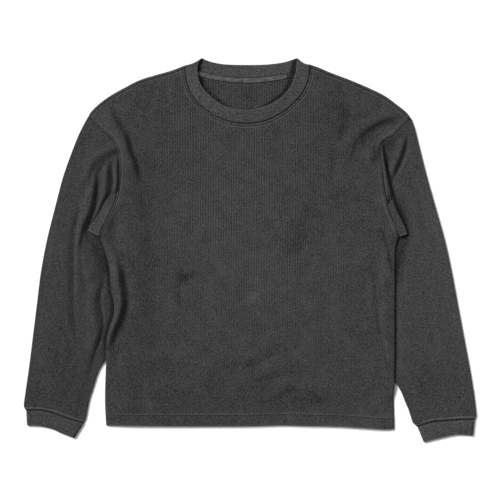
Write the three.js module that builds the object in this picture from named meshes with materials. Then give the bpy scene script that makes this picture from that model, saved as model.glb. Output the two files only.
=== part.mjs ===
// A long-sleeved thermal top in rib knit, lying flat on its back with both sleeves laid down beside the body.
// Millimetres. +X is the viewer's right, +Y runs from hem to neck, +Z points up off the surface it lies on.
// Every piece of cloth is a closed thin wall: two panels, two sleeves, two cuffs, two underarm gussets,
// the neckband and the tape inside the back neck.
import * as THREE from 'three';

// Cloth and how it lies
const KNIT = 1.5; // wall of the body and sleeve knit
const RIB = 2.2; // wall of the doubled rib at the neck
const CUFF_RIB = 2.0; // wall of the doubled rib at the wrists
const TAPE = 1.0; // wall of the neck tape
const SEAM = 0.3; // gap between two pieces where they are sewn
const TWO_LAYERS = 3.9; // height of two layers of knit lying on each other
const CUFF_HEIGHT = 4.9; // height of a flattened cuff
const BAND_HEIGHT = 5.6; // height of the flattened neckband
const BAND_STANDS = 1.6; // how much higher the band's free edge stands in the middle of the front
const LIE = 4.4; // how far the body's sides are lifted by the sleeves tucked under them
const LOFT = 1.9; // air that stays between the layers away from the edges
const LOFT_REACH = 42; // distance from an outer edge over which that air builds up
const HEM_RISE = 0.7; // extra height of the turned-up hem
const HEM_DEPTH = 18; // depth of the turned-up hem
const LEAST_PUFF = -0.5; // how far a crease may press the upper layer down

// Outlines. Each table runs in the order of its comment, with one row for each point that shapes the edge.
// Body sides from hem to underarm: height, and how far out each side lies there
const SIDES = [
  { y: -323, left: -264.5, right: 265.5 },
  { y: -300, left: -266, right: 265 },
  { y: -276, left: -266.8, right: 264.3 },
  { y: -250, left: -266.5, right: 266 },
  { y: -225, left: -265.5, right: 266.5 },
  { y: -200, left: -264.4, right: 266.5 },
  { y: -165, left: -264, right: 266.5 },
  { y: -141, left: -257.6, right: 266.5 },
  { y: -117, left: -250, right: 266.5 },
  { y: -97, left: -250.2, right: 266.5 },
  { y: -67, left: -257, right: 266.5 },
  { y: -40, left: -257.6, right: 266.5 },
  { y: -22, left: -260.4, right: 266.5 },
  { y: -2, left: -266.4, right: 266.8 },
  { y: 12, left: -271, right: 270 },
  { y: 25, left: -276, right: 274.5 },
];
// Armhole seams from underarm to shoulder
const ARMHOLES = [
  { leftX: -276, leftY: 25, rightX: 274.5, rightY: 25 },
  { leftX: -267, leftY: 49, rightX: 267.5, rightY: 42 },
  { leftX: -255, leftY: 72.5, rightX: 259, rightY: 65 },
  { leftX: -246, leftY: 99, rightX: 251.5, rightY: 92 },
  { leftX: -242, leftY: 122.5, rightX: 246.5, rightY: 121 },
  { leftX: -240.3, leftY: 150, rightX: 243.5, rightY: 150 },
  { leftX: -242.3, leftY: 174.8, rightX: 240, rightY: 175 },
  { leftX: -246, leftY: 190, rightX: 238.5, rightY: 188 },
  { leftX: -254.7, leftY: 204.8, rightX: 246, rightY: 199.5 },
  { leftX: -269.4, leftY: 216.6, rightX: 264, rightY: 210.7 },
  { leftX: -284, leftY: 231, rightX: 281.5, rightY: 228.2 },
  { leftX: -298, leftY: 244.4, rightX: 295.8, rightY: 242.5 },
];
// Shoulder edges from the armhole to the neck
const SHOULDERS = [
  { leftX: -298, leftY: 244.4, rightX: 295.8, rightY: 242.5 },
  { leftX: -292.6, leftY: 254, rightX: 287, rightY: 254 },
  { leftX: -277.8, leftY: 268.6, rightX: 268.6, rightY: 268.6 },
  { leftX: -257.6, leftY: 283.4, rightX: 248.4, rightY: 283.4 },
  { leftX: -231.8, leftY: 298, rightX: 219, rightY: 298 },
  { leftX: -202.4, leftY: 312.8, rightX: 184, rightY: 312.8 },
  { leftX: -171, leftY: 322.5, rightX: 145.4, rightY: 327.5 },
  { leftX: -145, leftY: 330, rightX: 127, rightY: 335.5 },
  { leftX: -120.2, leftY: 339.5, rightX: 111, rightY: 341 },
];
// Hem of the front, from left to right
const HEM = [
  { x: -264.5, y: -322.7 }, { x: -180, y: -323.5 }, { x: -90, y: -323.5 }, { x: 0, y: -323 },
  { x: 55, y: -321.5 }, { x: 95, y: -322.5 }, { x: 160, y: -324 }, { x: 215, y: -327.5 },
  { x: 248, y: -330 }, { x: 265.5, y: -329 },
];
const BACK_HEM_SHOWS = 1.2; // how far the back's hem lies below the front's at its middle
// Seam of the neckband on the front, and on the back, from left to right
const NECK_FRONT = [
  { x: -120.2, y: 339.5 }, { x: -117, y: 313 }, { x: -108.6, y: 289 }, { x: -97.5, y: 273 },
  { x: -81, y: 258.5 }, { x: -66, y: 247.5 }, { x: -47, y: 238.8 }, { x: -27, y: 234 },
  { x: -4.6, y: 232.2 }, { x: 24.5, y: 236 }, { x: 46, y: 244.7 }, { x: 66.8, y: 257.6 },
  { x: 84, y: 273 }, { x: 98.4, y: 291.3 }, { x: 107.8, y: 313 }, { x: 111, y: 341 },
];
const NECK_BACK = [
  { x: -120.2, y: 339.5 }, { x: -106, y: 333.8 }, { x: -91.6, y: 328.3 }, { x: -70.5, y: 322.7 },
  { x: -47, y: 318.9 }, { x: -22, y: 316.5 }, { x: 3, y: 316.4 }, { x: 35, y: 319 },
  { x: 62.6, y: 323 }, { x: 81.5, y: 327.5 }, { x: 97, y: 333.5 }, { x: 111, y: 341 },
];
// Free edge of the neckband at the front, and at the back, from left to right
const BAND_FRONT = [
  { x: -88.5, y: 353.3 }, { x: -95.2, y: 342 }, { x: -95.9, y: 327.3 }, { x: -92.7, y: 309.5 },
  { x: -84.3, y: 295.5 }, { x: -74.7, y: 284.6 }, { x: -60, y: 272.3 }, { x: -41, y: 262.3 },
  { x: -21.9, y: 258 }, { x: -5.2, y: 257 }, { x: 14, y: 259.6 }, { x: 35.1, y: 267 },
  { x: 56.1, y: 279.7 }, { x: 71, y: 295.5 }, { x: 80.4, y: 312.4 }, { x: 84.8, y: 331.6 },
  { x: 87, y: 353.3 },
];
const BAND_BACK = [
  { x: -88.5, y: 353.3 }, { x: -81, y: 349.4 }, { x: -70.5, y: 345.9 }, { x: -55.8, y: 342.8 },
  { x: -38.8, y: 341.1 }, { x: -5.2, y: 340.4 }, { x: 24.5, y: 340.9 }, { x: 45.6, y: 342.7 },
  { x: 62.6, y: 345.4 }, { x: 75.3, y: 349.2 }, { x: 87, y: 353.3 },
];
const BAND_SIDE_DIP = { left: 2.6, right: 3.4 }; // how hollow the band's folded side edges are
// Sleeves: the outer edge from shoulder to cuff, and the inner edge from underarm to cuff,
// which lies under the body's side until the sleeve comes out below. At the underarm the head of the sleeve
// leaves the armhole and runs under the body as well
const SLEEVES = {
  left: {
    outer: [
      { x: -298, y: 244.4 }, { x: -309, y: 224.5 }, { x: -322, y: 195 }, { x: -343.2, y: 136.2 },
      { x: -358.8, y: 77.3 }, { x: -373.5, y: 18.4 }, { x: -384.6, y: -40.5 }, { x: -392, y: -99.4 },
      { x: -399.3, y: -158.2 }, { x: -406.6, y: -217 }, { x: -413, y: -261.3 }, { x: -416, y: -286 },
      { x: -411.6, y: -295.2 },
    ],
    underarm: [{ x: -267.2, y: 27 }, { x: -268.4, y: 40 }],
    inner: [
      { x: -267.2, y: 27 }, { x: -265, y: 10 }, { x: -260, y: -4 }, { x: -253, y: -22 },
      { x: -249.5, y: -42 }, { x: -249, y: -67 }, { x: -243, y: -97 }, { x: -242.5, y: -117 },
      { x: -249.6, y: -141 }, { x: -257, y: -165 }, { x: -260, y: -186 }, { x: -265, y: -201 },
      { x: -275, y: -217 }, { x: -281.5, y: -231.8 }, { x: -286, y: -246.6 }, { x: -290.7, y: -261.3 },
      { x: -295.3, y: -276 }, { x: -298.5, y: -292 }, { x: -301.8, y: -309 }, { x: -306, y: -319 },
    ],
    cuffSeam: [
      { x: -411.6, y: -295.2 }, { x: -386.6, y: -294.8 }, { x: -363.2, y: -299.2 },
      { x: -342.6, y: -306.5 }, { x: -322.2, y: -313.9 }, { x: -306, y: -319 },
    ],
    cuffEnd: [
      { x: -410.1, y: -322.7 }, { x: -389.6, y: -323.3 }, { x: -366.2, y: -328 },
      { x: -348.5, y: -336 }, { x: -322.7, y: -346.1 },
    ],
    comesOut: -201, // height at which the sleeve comes out from under the body
    gussetFold: [
      { x: -296.5, y: 35.5 }, { x: -293.2, y: 45 }, { x: -284.6, y: 56 }, { x: -274.7, y: 71 },
      { x: -267, y: 88 }, { x: -256, y: 101 },
    ],
    gussetSteps: 5, // armhole steps that the gusset runs up from the underarm
  },
  right: {
    outer: [
      { x: 295.8, y: 242.5 }, { x: 302.7, y: 224.5 }, { x: 310, y: 195 }, { x: 324.8, y: 136 },
      { x: 341.3, y: 77.3 }, { x: 357.9, y: 18.4 }, { x: 370.8, y: -40.5 }, { x: 381.8, y: -99.4 },
      { x: 392.8, y: -158.2 }, { x: 403.9, y: -217 }, { x: 411.2, y: -261.3 }, { x: 415.6, y: -296 },
      { x: 416, y: -306 }, { x: 413.2, y: -312 },
    ],
    underarm: [{ x: 265.8, y: 27 }, { x: 266.9, y: 40 }],
    inner: [
      { x: 265.8, y: 27 }, { x: 264, y: 10 }, { x: 260.5, y: -4 }, { x: 258.5, y: -22 },
      { x: 258.5, y: -60 }, { x: 258.5, y: -110 }, { x: 258.5, y: -166 }, { x: 258.5, y: -212 },
      { x: 261, y: -230 }, { x: 266.6, y: -244 }, { x: 273, y: -252 }, { x: 279.5, y: -264.5 },
      { x: 285, y: -278.5 }, { x: 291, y: -292.5 }, { x: 295.5, y: -306 }, { x: 299.5, y: -317.5 },
      { x: 308, y: -325.5 },
    ],
    cuffSeam: [
      { x: 413.2, y: -312 }, { x: 392, y: -312.2 }, { x: 366.7, y: -313.4 },
      { x: 337.5, y: -315.8 }, { x: 322.7, y: -319.8 }, { x: 308, y: -325.5 },
    ],
    cuffEnd: [
      { x: 410, y: -341.2 }, { x: 393, y: -339.7 }, { x: 375.5, y: -339.9 },
      { x: 346.1, y: -346.3 }, { x: 319.2, y: -353.2 },
    ],
    comesOut: -244,
    gussetFold: [
      { x: 288, y: 29.5 }, { x: 286, y: 39 }, { x: 276.5, y: 58.9 }, { x: 265.5, y: 83 },
      { x: 261, y: 92 },
    ],
    gussetSteps: 4,
  },
};

// Folds and creases of the upper layer. A height below 0 is a valley. Reach is how far the fold runs out
// on the left and on the right of its path, walking from its first point to its last.
const FOLDS = [
  {
    name: 'left shoulder roll', height: 6.5, reachLeft: 12, reachRight: 20,
    path: [[-254, 252], [-243, 224], [-235.5, 193], [-228, 162], [-222, 126]],
  },
  {
    name: 'valley beside it', height: -3, reachLeft: 16, reachRight: 8,
    path: [[-241, 243], [-223, 208], [-214, 184], [-205, 158], [-198, 132]],
  },
  {
    name: 'left sleeve head ridge', height: 4, reachLeft: 13, reachRight: 14,
    path: [[-250, 192], [-276, 177], [-294, 151], [-303, 122]],
  },
  {
    name: 'left sleeve head crease', height: -3.5, reachLeft: 8, reachRight: 7,
    path: [[-246, 177], [-258, 168], [-273, 153], [-293, 131]],
  },
  {
    name: 'left armhole pleat', height: 3.5, reachLeft: 8, reachRight: 6,
    path: [[-249, 170], [-248.5, 147], [-250, 123], [-256, 103]],
  },
  {
    name: 'left armhole gutter', height: -3.5, reachLeft: 7, reachRight: 8,
    path: [[-258, 165], [-257.5, 143], [-261, 120], [-270, 97], [-282, 72], [-295, 50]],
  },
  {
    name: 'left sleeve fold', height: 4, reachLeft: 10, reachRight: 7,
    path: [[-274, 150], [-271, 128], [-274, 100], [-283, 72], [-301, 42]],
  },
  {
    name: 'left sleeve long valley', height: -2.6, reachLeft: 10, reachRight: 10,
    path: [[-309, 82], [-320, 46], [-326, 0], [-327, -74], [-326, -125], [-316, -175]],
  },
  {
    name: 'left sleeve long ridge', height: 2.5, reachLeft: 14, reachRight: 9,
    path: [[-302, 66], [-312, 34], [-316, -18], [-316, -92]],
  },
  {
    name: 'left underarm crease', height: -3, reachLeft: 7, reachRight: 9,
    path: [[-268, -30], [-278, -82], [-281, -112], [-273, -147], [-273, -167], [-284, -199], [-296, -236]],
  },
  {
    name: 'left side roll', height: 5.5, reachLeft: 10, reachRight: 15,
    path: [[-247, -12], [-243, -60], [-238, -101], [-245, -138], [-256, -178]],
  },
  {
    name: 'left side valley', height: -3, reachLeft: 16, reachRight: 8,
    path: [[-229, -36], [-224, -92], [-229, -129], [-241, -160], [-249, -190]],
  },
  {
    name: 'left long hollow', height: -1.2, reachLeft: 30, reachRight: 30,
    path: [[-190, 110], [-194, 10], [-190, -110]],
  },
  {
    name: 'left underarm swell', height: 3, reachLeft: 22, reachRight: 22,
    path: [[-275, 14], [-266, 46], [-254, 70], [-243, 98]],
  },
  {
    name: 'right shoulder valley', height: -3, reachLeft: 13, reachRight: 15,
    path: [[276, 233], [247, 223], [221, 215], [204, 195], [194, 168]],
  },
  {
    name: 'right shoulder ridge', height: 5, reachLeft: 17, reachRight: 12,
    path: [[281, 220], [249, 205], [229, 187], [218, 155]],
  },
  {
    name: 'right chest dent', height: -1.8, reachLeft: 12, reachRight: 12,
    path: [[171, 272], [177, 248], [173, 219], [165, 193]],
  },
  {
    name: 'right sleeve crease', height: -3, reachLeft: 12, reachRight: 8,
    path: [[293, 213], [289, 184], [276, 154], [262, 127]],
  },
  {
    name: 'right sleeve head ridge', height: 2.5, reachLeft: 10, reachRight: 10,
    path: [[280, 205], [274, 180], [262, 152]],
  },
  {
    name: 'right armhole pleat', height: 4.5, reachLeft: 5, reachRight: 8,
    path: [[242, 186], [248, 147], [252, 112], [258, 84]],
  },
  {
    name: 'right armhole gutter', height: -3, reachLeft: 12, reachRight: 5,
    path: [[249, 184], [257, 147], [263, 110], [273, 76], [291, 40]],
  },
  {
    name: 'right underarm swell', height: 3, reachLeft: 22, reachRight: 22,
    path: [[273, 14], [266, 46], [255, 72], [249, 100]],
  },
  {
    name: 'right side pinch', height: -3, reachLeft: 8, reachRight: 8,
    path: [[238, 42], [250, 15], [258, -8]],
  },
  {
    name: 'right side crease', height: -2, reachLeft: 9, reachRight: 12,
    path: [[226, -64], [232, -109], [243, -177], [254, -223], [261, -244]],
  },
  {
    name: 'right side ridge', height: 1.6, reachLeft: 10, reachRight: 14,
    path: [[248, -40], [252, -110], [256, -180]],
  },
  {
    name: 'low front wave', height: -1.6, reachLeft: 14, reachRight: 14,
    path: [[-20, -240], [24, -203], [74, -178]],
  },
  {
    name: 'hem bump', height: 2.2, reachLeft: 14, reachRight: 14,
    path: [[76, -278], [98, -266], [122, -268]],
  },
];

// Numbers of steps that two sewn pieces share, so that their edges match
const SIDE_STEPS = 20;
const ARMHOLE_STEPS = 16;
const NECK_STEPS = 12;
const BACK_NECK_STEPS = 6;
const RELAX_ROUNDS = 300;
// Places along a shoulder where the front and the back have a point, as shares of its length
const SHOULDER_SHARES = [0, 0.05, 0.1, 0.15, 0.2, 0.26, 0.33, 0.42, 0.54, 0.68, 0.84, 1];
const BACK_SHOULDER_SHARES = [0, 0.05, 0.1, 0.15, 0.2, 0.42, 1];
// Places along a sleeve where it has a section, as shares of its length
const SLEEVE_SHARES = [
  0, 0.032, 0.055, 0.08, 0.108, 0.14, 0.18, 0.22, 0.265, 0.31, 0.36,
  0.41, 0.46, 0.52, 0.58, 0.64, 0.71, 0.79, 0.88, 0.965, 1,
];

const smooth = (from, to, x) => {
  const t = Math.min(1, Math.max(0, (x - from) / (to - from)));
  return t * t * (3 - 2 * t);
};
const mix = (a, b, t) => a + (b - a) * t;
const mixPoint = (a, b, t) => ({ x: mix(a.x, b.x, t), y: mix(a.y, b.y, t) });
const unit = (a, b) => {
  const length = Math.hypot(b.x - a.x, b.y - a.y);
  return { x: (b.x - a.x) / length, y: (b.y - a.y) / length };
};
/** A direction, turned round if it points away from another. */
const facing = (direction, towards) => {
  const sign = Math.sign(direction.x * towards.x + direction.y * towards.y) || 1;
  return { x: direction.x * sign, y: direction.y * sign };
};
const shifted = (p, direction, distance) => ({
  x: p.x + direction.x * distance,
  y: p.y + direction.y * distance,
});

/** A smooth curve through the rows of a table. */
const curveThrough = (rows) => new THREE.SplineCurve(rows.map((p) => new THREE.Vector2(p.x, p.y)));
/** Points on a curve at the given shares of its length. */
const pointsAt = (curve, shares) => shares.map((t) => {
  const { x, y } = curve.getPointAt(t);
  return { x, y };
});
const evenShares = (steps) => Array.from({ length: steps + 1 }, (_, k) => k / steps);
const sideShares = evenShares(SIDE_STEPS);
const armholeShares = evenShares(ARMHOLE_STEPS);
const neckShares = evenShares(NECK_STEPS);

/** Straight interpolation along a list of points, which are evenly spaced unless their shares are given. */
function along(points, t, shares = evenShares(points.length - 1)) {
  let k = 0;
  while (k < shares.length - 2 && t > shares[k + 1]) k += 1;
  return mixPoint(points[k], points[k + 1], (t - shares[k]) / (shares[k + 1] - shares[k]));
}

/** Distance from a point to a path, the share along it, and which side of it the point is on. */
function nearest(path, x, y) {
  let best = { distance: Infinity, share: 0, side: 0 };
  const steps = path.length - 1;
  for (let k = 0; k < steps; k += 1) {
    const [ax, ay] = path[k];
    const [bx, by] = path[k + 1];
    const length2 = (bx - ax) ** 2 + (by - ay) ** 2;
    const raw = ((x - ax) * (bx - ax) + (y - ay) * (by - ay)) / length2;
    const t = Math.min(1, Math.max(0, raw));
    const distance = Math.hypot(x - mix(ax, bx, t), y - mix(ay, by, t));
    if (distance < best.distance) {
      const side = Math.sign((bx - ax) * (y - ay) - (by - ay) * (x - ax));
      best = { distance, share: (k + t) / steps, side };
    }
  }
  return best;
}

/** Sum of all folds at a point of the upper layer. */
function foldHeight(x, y) {
  let sum = 0;
  for (const fold of FOLDS) {
    const { distance, share, side } = nearest(fold.path, x, y);
    const reach = side > 0 ? fold.reachLeft : fold.reachRight;
    if (distance < reach) {
      const fade = smooth(0, 0.2, share) * smooth(1, 0.8, share);
      sum += fold.height * fade * (0.5 + 0.5 * Math.cos((Math.PI * distance) / reach));
    }
  }
  return sum;
}

const sideEdge = (side) => SIDES.map((row, k) => {
  const end = side === 'left' ? HEM[0] : HEM[HEM.length - 1];
  return k === 0 ? end : { x: row[side], y: row.y };
});
const sideTable = (rows, side) => rows.map((row) => ({ x: row[`${side}X`], y: row[`${side}Y`] }));

// The edges of the body as points, shared by every piece that is sewn there
const EDGES = {};
for (const side of ['left', 'right']) {
  EDGES[side] = {
    side: pointsAt(curveThrough(sideEdge(side)), evenShares(SIDE_STEPS)),
    armhole: pointsAt(curveThrough(sideTable(ARMHOLES, side)), evenShares(ARMHOLE_STEPS)),
    shoulder: pointsAt(curveThrough(sideTable(SHOULDERS, side)), SHOULDER_SHARES),
    innerEdge: pointsAt(curveThrough(SLEEVES[side].inner), evenShares(60)),
    outward: side === 'left' ? -1 : 1,
  };
}
const OUTER_PATHS = ['left', 'right'].flatMap((side) => [
  pointsAt(curveThrough(SLEEVES[side].outer), evenShares(24)).map((p) => [p.x, p.y]),
  EDGES[side].shoulder.map((p) => [p.x, p.y]),
]);
const SIDE_PATHS = ['left', 'right'].map((side) => EDGES[side].side.map((p) => [p.x, p.y]));
const INNER_PATHS = {
  left: EDGES.left.innerEdge.map((p) => [p.x, p.y]),
  right: EDGES.right.innerEdge.map((p) => [p.x, p.y]),
};

/** How far the upper layer stands above the lower one, beyond two flat layers. */
function puff(x, y) {
  const outer = Math.min(...OUTER_PATHS.map((path) => nearest(path, x, y).distance));
  const sum = LOFT * smooth(0, LOFT_REACH, outer) + foldHeight(x, y);
  return Math.max(LEAST_PUFF, sum * smooth(0, 12, outer));
}
const bodyPuff = (x, y) => {
  const side = Math.min(...SIDE_PATHS.map((path) => nearest(path, x, y).distance));
  return Math.max(LEAST_PUFF, puff(x, y) - LOFT * (1 - smooth(0, LOFT_REACH, side)));
};

/** How far the body is lifted where a sleeve lies under its side. */
function lift(x, y) {
  let most = 0;
  for (const side of ['left', 'right']) {
    const { innerEdge, outward } = EDGES[side];
    const top = innerEdge[0].y;
    const bottom = SLEEVES[side].comesOut;
    const level = Math.min(top, Math.max(bottom, y));
    let k = 0;
    while (k < innerEdge.length - 2 && innerEdge[k + 1].y > level) k += 1;
    const t = (level - innerEdge[k].y) / (innerEdge[k + 1].y - innerEdge[k].y);
    const edge = mix(innerEdge[k].x, innerEdge[k + 1].x, t);
    const inside = (edge - x) * outward;
    const ends = smooth(top + 78, top + 32, y) * smooth(bottom - 36, bottom - 3, y);
    most = Math.max(most, LIE * smooth(24, 2, inside) * ends);
  }
  return most;
}

/** A closed geometry from a list of corner points and quads, with its faces pointing out. */
function closedGeometry(points, faces) {
  const triangles = faces.flatMap(([a, b, c, d]) => [[a, b, c], [a, c, d]]);
  const corner = (k) => new THREE.Vector3(...points[k]);
  const volume = triangles.reduce((sum, [a, b, c]) => sum + corner(a).dot(corner(b).cross(corner(c))), 0);
  const turned = volume > 0 ? triangles : triangles.map(([a, b, c]) => [a, c, b]);
  const geometry = new THREE.BufferGeometry();
  geometry.setAttribute('position', new THREE.Float32BufferAttribute(points.flat(), 3));
  geometry.setIndex(turned.flat());
  geometry.computeVertexNormals();
  return geometry;
}

/**
 * A wall of cloth between a grid of points on its outer face and one on its inner face, closed round its rim.
 * In a tube the last column joins the first, and only the two ends are rims.
 */
function clothWall(outer, inner, isTube) {
  const [rows, columns] = [outer.length, outer[0].length];
  const id = (face, r, c) => (face * rows + r) * columns + (c % columns);
  const at = ([r, c]) => outer[r][c % columns];
  const span = (a, b) => Math.hypot(at(a)[0] - at(b)[0], at(a)[1] - at(b)[1], at(a)[2] - at(b)[2]);
  const faces = [];
  for (let c = 0; c < (isTube ? columns : columns - 1); c += 1) {
    for (let r = 0; r < rows - 1; r += 1) {
      const corners = [[r, c], [r, c + 1], [r + 1, c + 1], [r + 1, c]];
      const isFirstShorter = span(corners[0], corners[2]) <= span(corners[1], corners[3]);
      const [a, b, d, e] = isFirstShorter ? corners : [...corners.slice(1), corners[0]];
      faces.push([a, b, d, e].map((corner) => id(0, ...corner)));
      faces.push([a, e, d, b].map((corner) => id(1, ...corner)));
    }
    faces.push([id(0, 0, c), id(1, 0, c), id(1, 0, c + 1), id(0, 0, c + 1)]);
    faces.push([id(0, rows - 1, c), id(0, rows - 1, c + 1), id(1, rows - 1, c + 1), id(1, rows - 1, c)]);
  }
  for (let r = 0; r < rows - 1 && !isTube; r += 1) {
    faces.push([id(0, r, 0), id(0, r + 1, 0), id(1, r + 1, 0), id(1, r, 0)]);
    const c = columns - 1;
    faces.push([id(0, r, c), id(1, r, c), id(1, r + 1, c), id(0, r + 1, c)]);
  }
  return closedGeometry([...outer.flat(), ...inner.flat()], faces);
}
const sheetWall = (outer, inner) => clothWall(outer, inner, false);
const tubeWall = (rings) => clothWall(rings.map((ring) => ring[0]), rings.map((ring) => ring[1]), true);

/**
 * One ring of a flattened tube. The upper and lower rows share their first and last points, where the cloth turns
 * round in a half circle, towards the inside of the ring unless another way inwards is given for its end. Heights
 * are of the outer face of the upper row.
 */
const TURN_ANGLES = [90, 45, 0, -45, -90].map(THREE.MathUtils.degToRad);
function flatRing(upper, lower, heights, edgeHeight, wall, endInward) {
  const last = upper.length - 1;
  const radius = edgeHeight / 2;
  const turn = (at, upperNext, lowerNext, inward, face) => TURN_ANGLES.map((angle) => {
    const upperShare = (1 + Math.sign(Math.round(angle * 10))) / 2;
    const between = mixPoint(unit(at, lowerNext), unit(at, upperNext), upperShare);
    const direction = inward ?? unit({ x: 0, y: 0 }, between);
    const bend = radius - face * wall;
    const p = shifted(at, direction, radius - bend * Math.cos(angle));
    return [p.x, p.y, radius + bend * Math.sin(angle)];
  });
  return [0, 1].map((face) => {
    const start = turn(upper[0], upper[1], lower[1], undefined, face);
    const end = turn(upper[last], upper[last - 1], lower[lower.length - 2], endInward, face);
    const over = upper.slice(1, last).map((p, k) => [p.x, p.y, heights[k + 1] - face * wall]);
    const under = lower.slice(1, -1).map((p) => [p.x, p.y, face * wall]).reverse();
    return [start[0], ...over, ...end, ...under, ...start.slice(1).reverse()];
  });
}

/** How far a point of an end row is off the straight line between that row's two ends. */
const bowOf = (row, u) => ({
  x: row.at.x - mix(row.from.x, row.to.x, u),
  y: row.at.y - mix(row.from.y, row.to.y, u),
});

/** A point of a patch between four edges: on a straight line between its sides, bowed as the end rows are. */
function patchPoint(startRow, endRow, startSide, endSide, u, startShare, endShare) {
  const across = mixPoint(startSide, endSide, u);
  const [start, end] = [bowOf(startRow, u), bowOf(endRow, u)];
  return {
    x: across.x + startShare.x * start.x + endShare.x * end.x,
    y: across.y + startShare.y * start.y + endShare.y * end.y,
  };
}

/** Spreads the inside of a plan so that its rows and columns never cross. Its rim stays as it is. */
function relax(plan, rowShares, columnShares, rounds) {
  for (let round = 0; round < rounds; round += 1) {
    for (let r = 1; r < plan.length - 1; r += 1) {
      const [below, above] = [rowShares[r] - rowShares[r - 1], rowShares[r + 1] - rowShares[r]];
      for (let c = 1; c < plan[r].length - 1; c += 1) {
        const before = columnShares[c] - columnShares[c - 1];
        const after = columnShares[c + 1] - columnShares[c];
        const [left, right, down, up] = [plan[r][c - 1], plan[r][c + 1], plan[r - 1][c], plan[r + 1][c]];
        const [width, depth] = [before + after, below + above];
        const slopeAcross = { x: (right.x - left.x) / width, y: (right.y - left.y) / width };
        const slopeUp = { x: (up.x - down.x) / depth, y: (up.y - down.y) / depth };
        const pullAcross = (2 * (slopeUp.x ** 2 + slopeUp.y ** 2)) / width;
        const pullUp = (2 * (slopeAcross.x ** 2 + slopeAcross.y ** 2)) / depth;
        const weights = [pullAcross / before, pullAcross / after, pullUp / below, pullUp / above];
        const skew = (2 * (slopeAcross.x * slopeUp.x + slopeAcross.y * slopeUp.y)) / (width * depth);
        const [upLeft, upRight] = [plan[r + 1][c - 1], plan[r + 1][c + 1]];
        const [downLeft, downRight] = [plan[r - 1][c - 1], plan[r - 1][c + 1]];
        const total = weights[0] + weights[1] + weights[2] + weights[3];
        const settle = (axis) => {
          const pull = [left, right, down, up].reduce((sum, q, k) => sum + weights[k] * q[axis], 0);
          const twist = upRight[axis] - upLeft[axis] - downRight[axis] + downLeft[axis];
          return (pull - skew * twist) / total;
        };
        plan[r][c] = { x: settle('x'), y: settle('y') };
      }
    }
  }
  return plan;
}

/** The points of an armhole that the lower layer follows: it is plainer, apart from the underarm, where it starts. */
const plainer = (row) => row.filter((_, k) => k < 4 || k % 2 === 0);
const everySecond = (row) => row.filter((_, k) => k % 2 === 0);
const flipped = (rows) => [...rows].reverse();

// Shares up the body at which the panels have a row, and across it at which they have a column
const UNDERARM_SHARE = 0.58;
const NECK_SHARES = { left: 0.3, right: 0.69 };
const HEM_STEPS = [HEM_DEPTH - 1.2, HEM_DEPTH + 0.8];
const FIRST_SIDE_ROW = 2; // the first of the side's steps that lies well above the hem

/** The left or right edge of a panel at a share of its way up. */
function edgeUp(side, v, sideInset) {
  const edge = EDGES[side];
  if (v < UNDERARM_SHARE || (v === UNDERARM_SHARE && sideInset > 0)) {
    const t = v / UNDERARM_SHARE;
    const p = along(edge.side, t);
    const up = unit(along(edge.side, Math.max(0, t - 0.02)), along(edge.side, Math.min(1, t + 0.02)));
    return shifted(p, { x: -edge.outward * up.y, y: edge.outward * up.x }, sideInset);
  }
  return along(edge.armhole, (v - UNDERARM_SHARE) / (1 - UNDERARM_SHARE));
}

/** The top edge of a panel at a share of its way across: shoulder, neckline, shoulder. */
function edgeTop(neckPoints, u, inset) {
  const onShoulder = (side, t) => {
    const at = (share) => along(EDGES[side].shoulder, Math.min(1, Math.max(0, share)), SHOULDER_SHARES);
    const p = at(t);
    const inward = unit(at(t - 0.02), at(t + 0.02));
    return shifted(p, { x: -EDGES[side].outward * inward.y, y: EDGES[side].outward * inward.x }, inset);
  };
  if (u <= NECK_SHARES.left) return onShoulder('left', u / NECK_SHARES.left);
  if (u >= NECK_SHARES.right) return onShoulder('right', (1 - u) / (1 - NECK_SHARES.right));
  return along(neckPoints, (u - NECK_SHARES.left) / (NECK_SHARES.right - NECK_SHARES.left));
}

const hemCurve = curveThrough(HEM);
const neckFrontPoints = pointsAt(curveThrough(NECK_FRONT), neckShares);
const neckBackPoints = pointsAt(curveThrough(NECK_BACK), evenShares(BACK_NECK_STEPS));

/** Columns of a panel across its left shoulder, its neckline and its right shoulder. */
const columnsAcross = (shoulderShares, neckSteps) => [
  ...shoulderShares.map((t) => t * NECK_SHARES.left),
  ...evenShares(neckSteps).slice(1, -1).map((t) => mix(NECK_SHARES.left, NECK_SHARES.right, t)),
  ...shoulderShares.map((t) => 1 - t * (1 - NECK_SHARES.right)).reverse(),
];
const sideRows = [0, ...sideShares.slice(FIRST_SIDE_ROW, -1)].map((t) => t * UNDERARM_SHARE);
const armholeRows = armholeShares.map((t) => mix(UNDERARM_SHARE, 1, t));
const UNDERARM_ROW = sideRows.length + HEM_STEPS.length;

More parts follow.
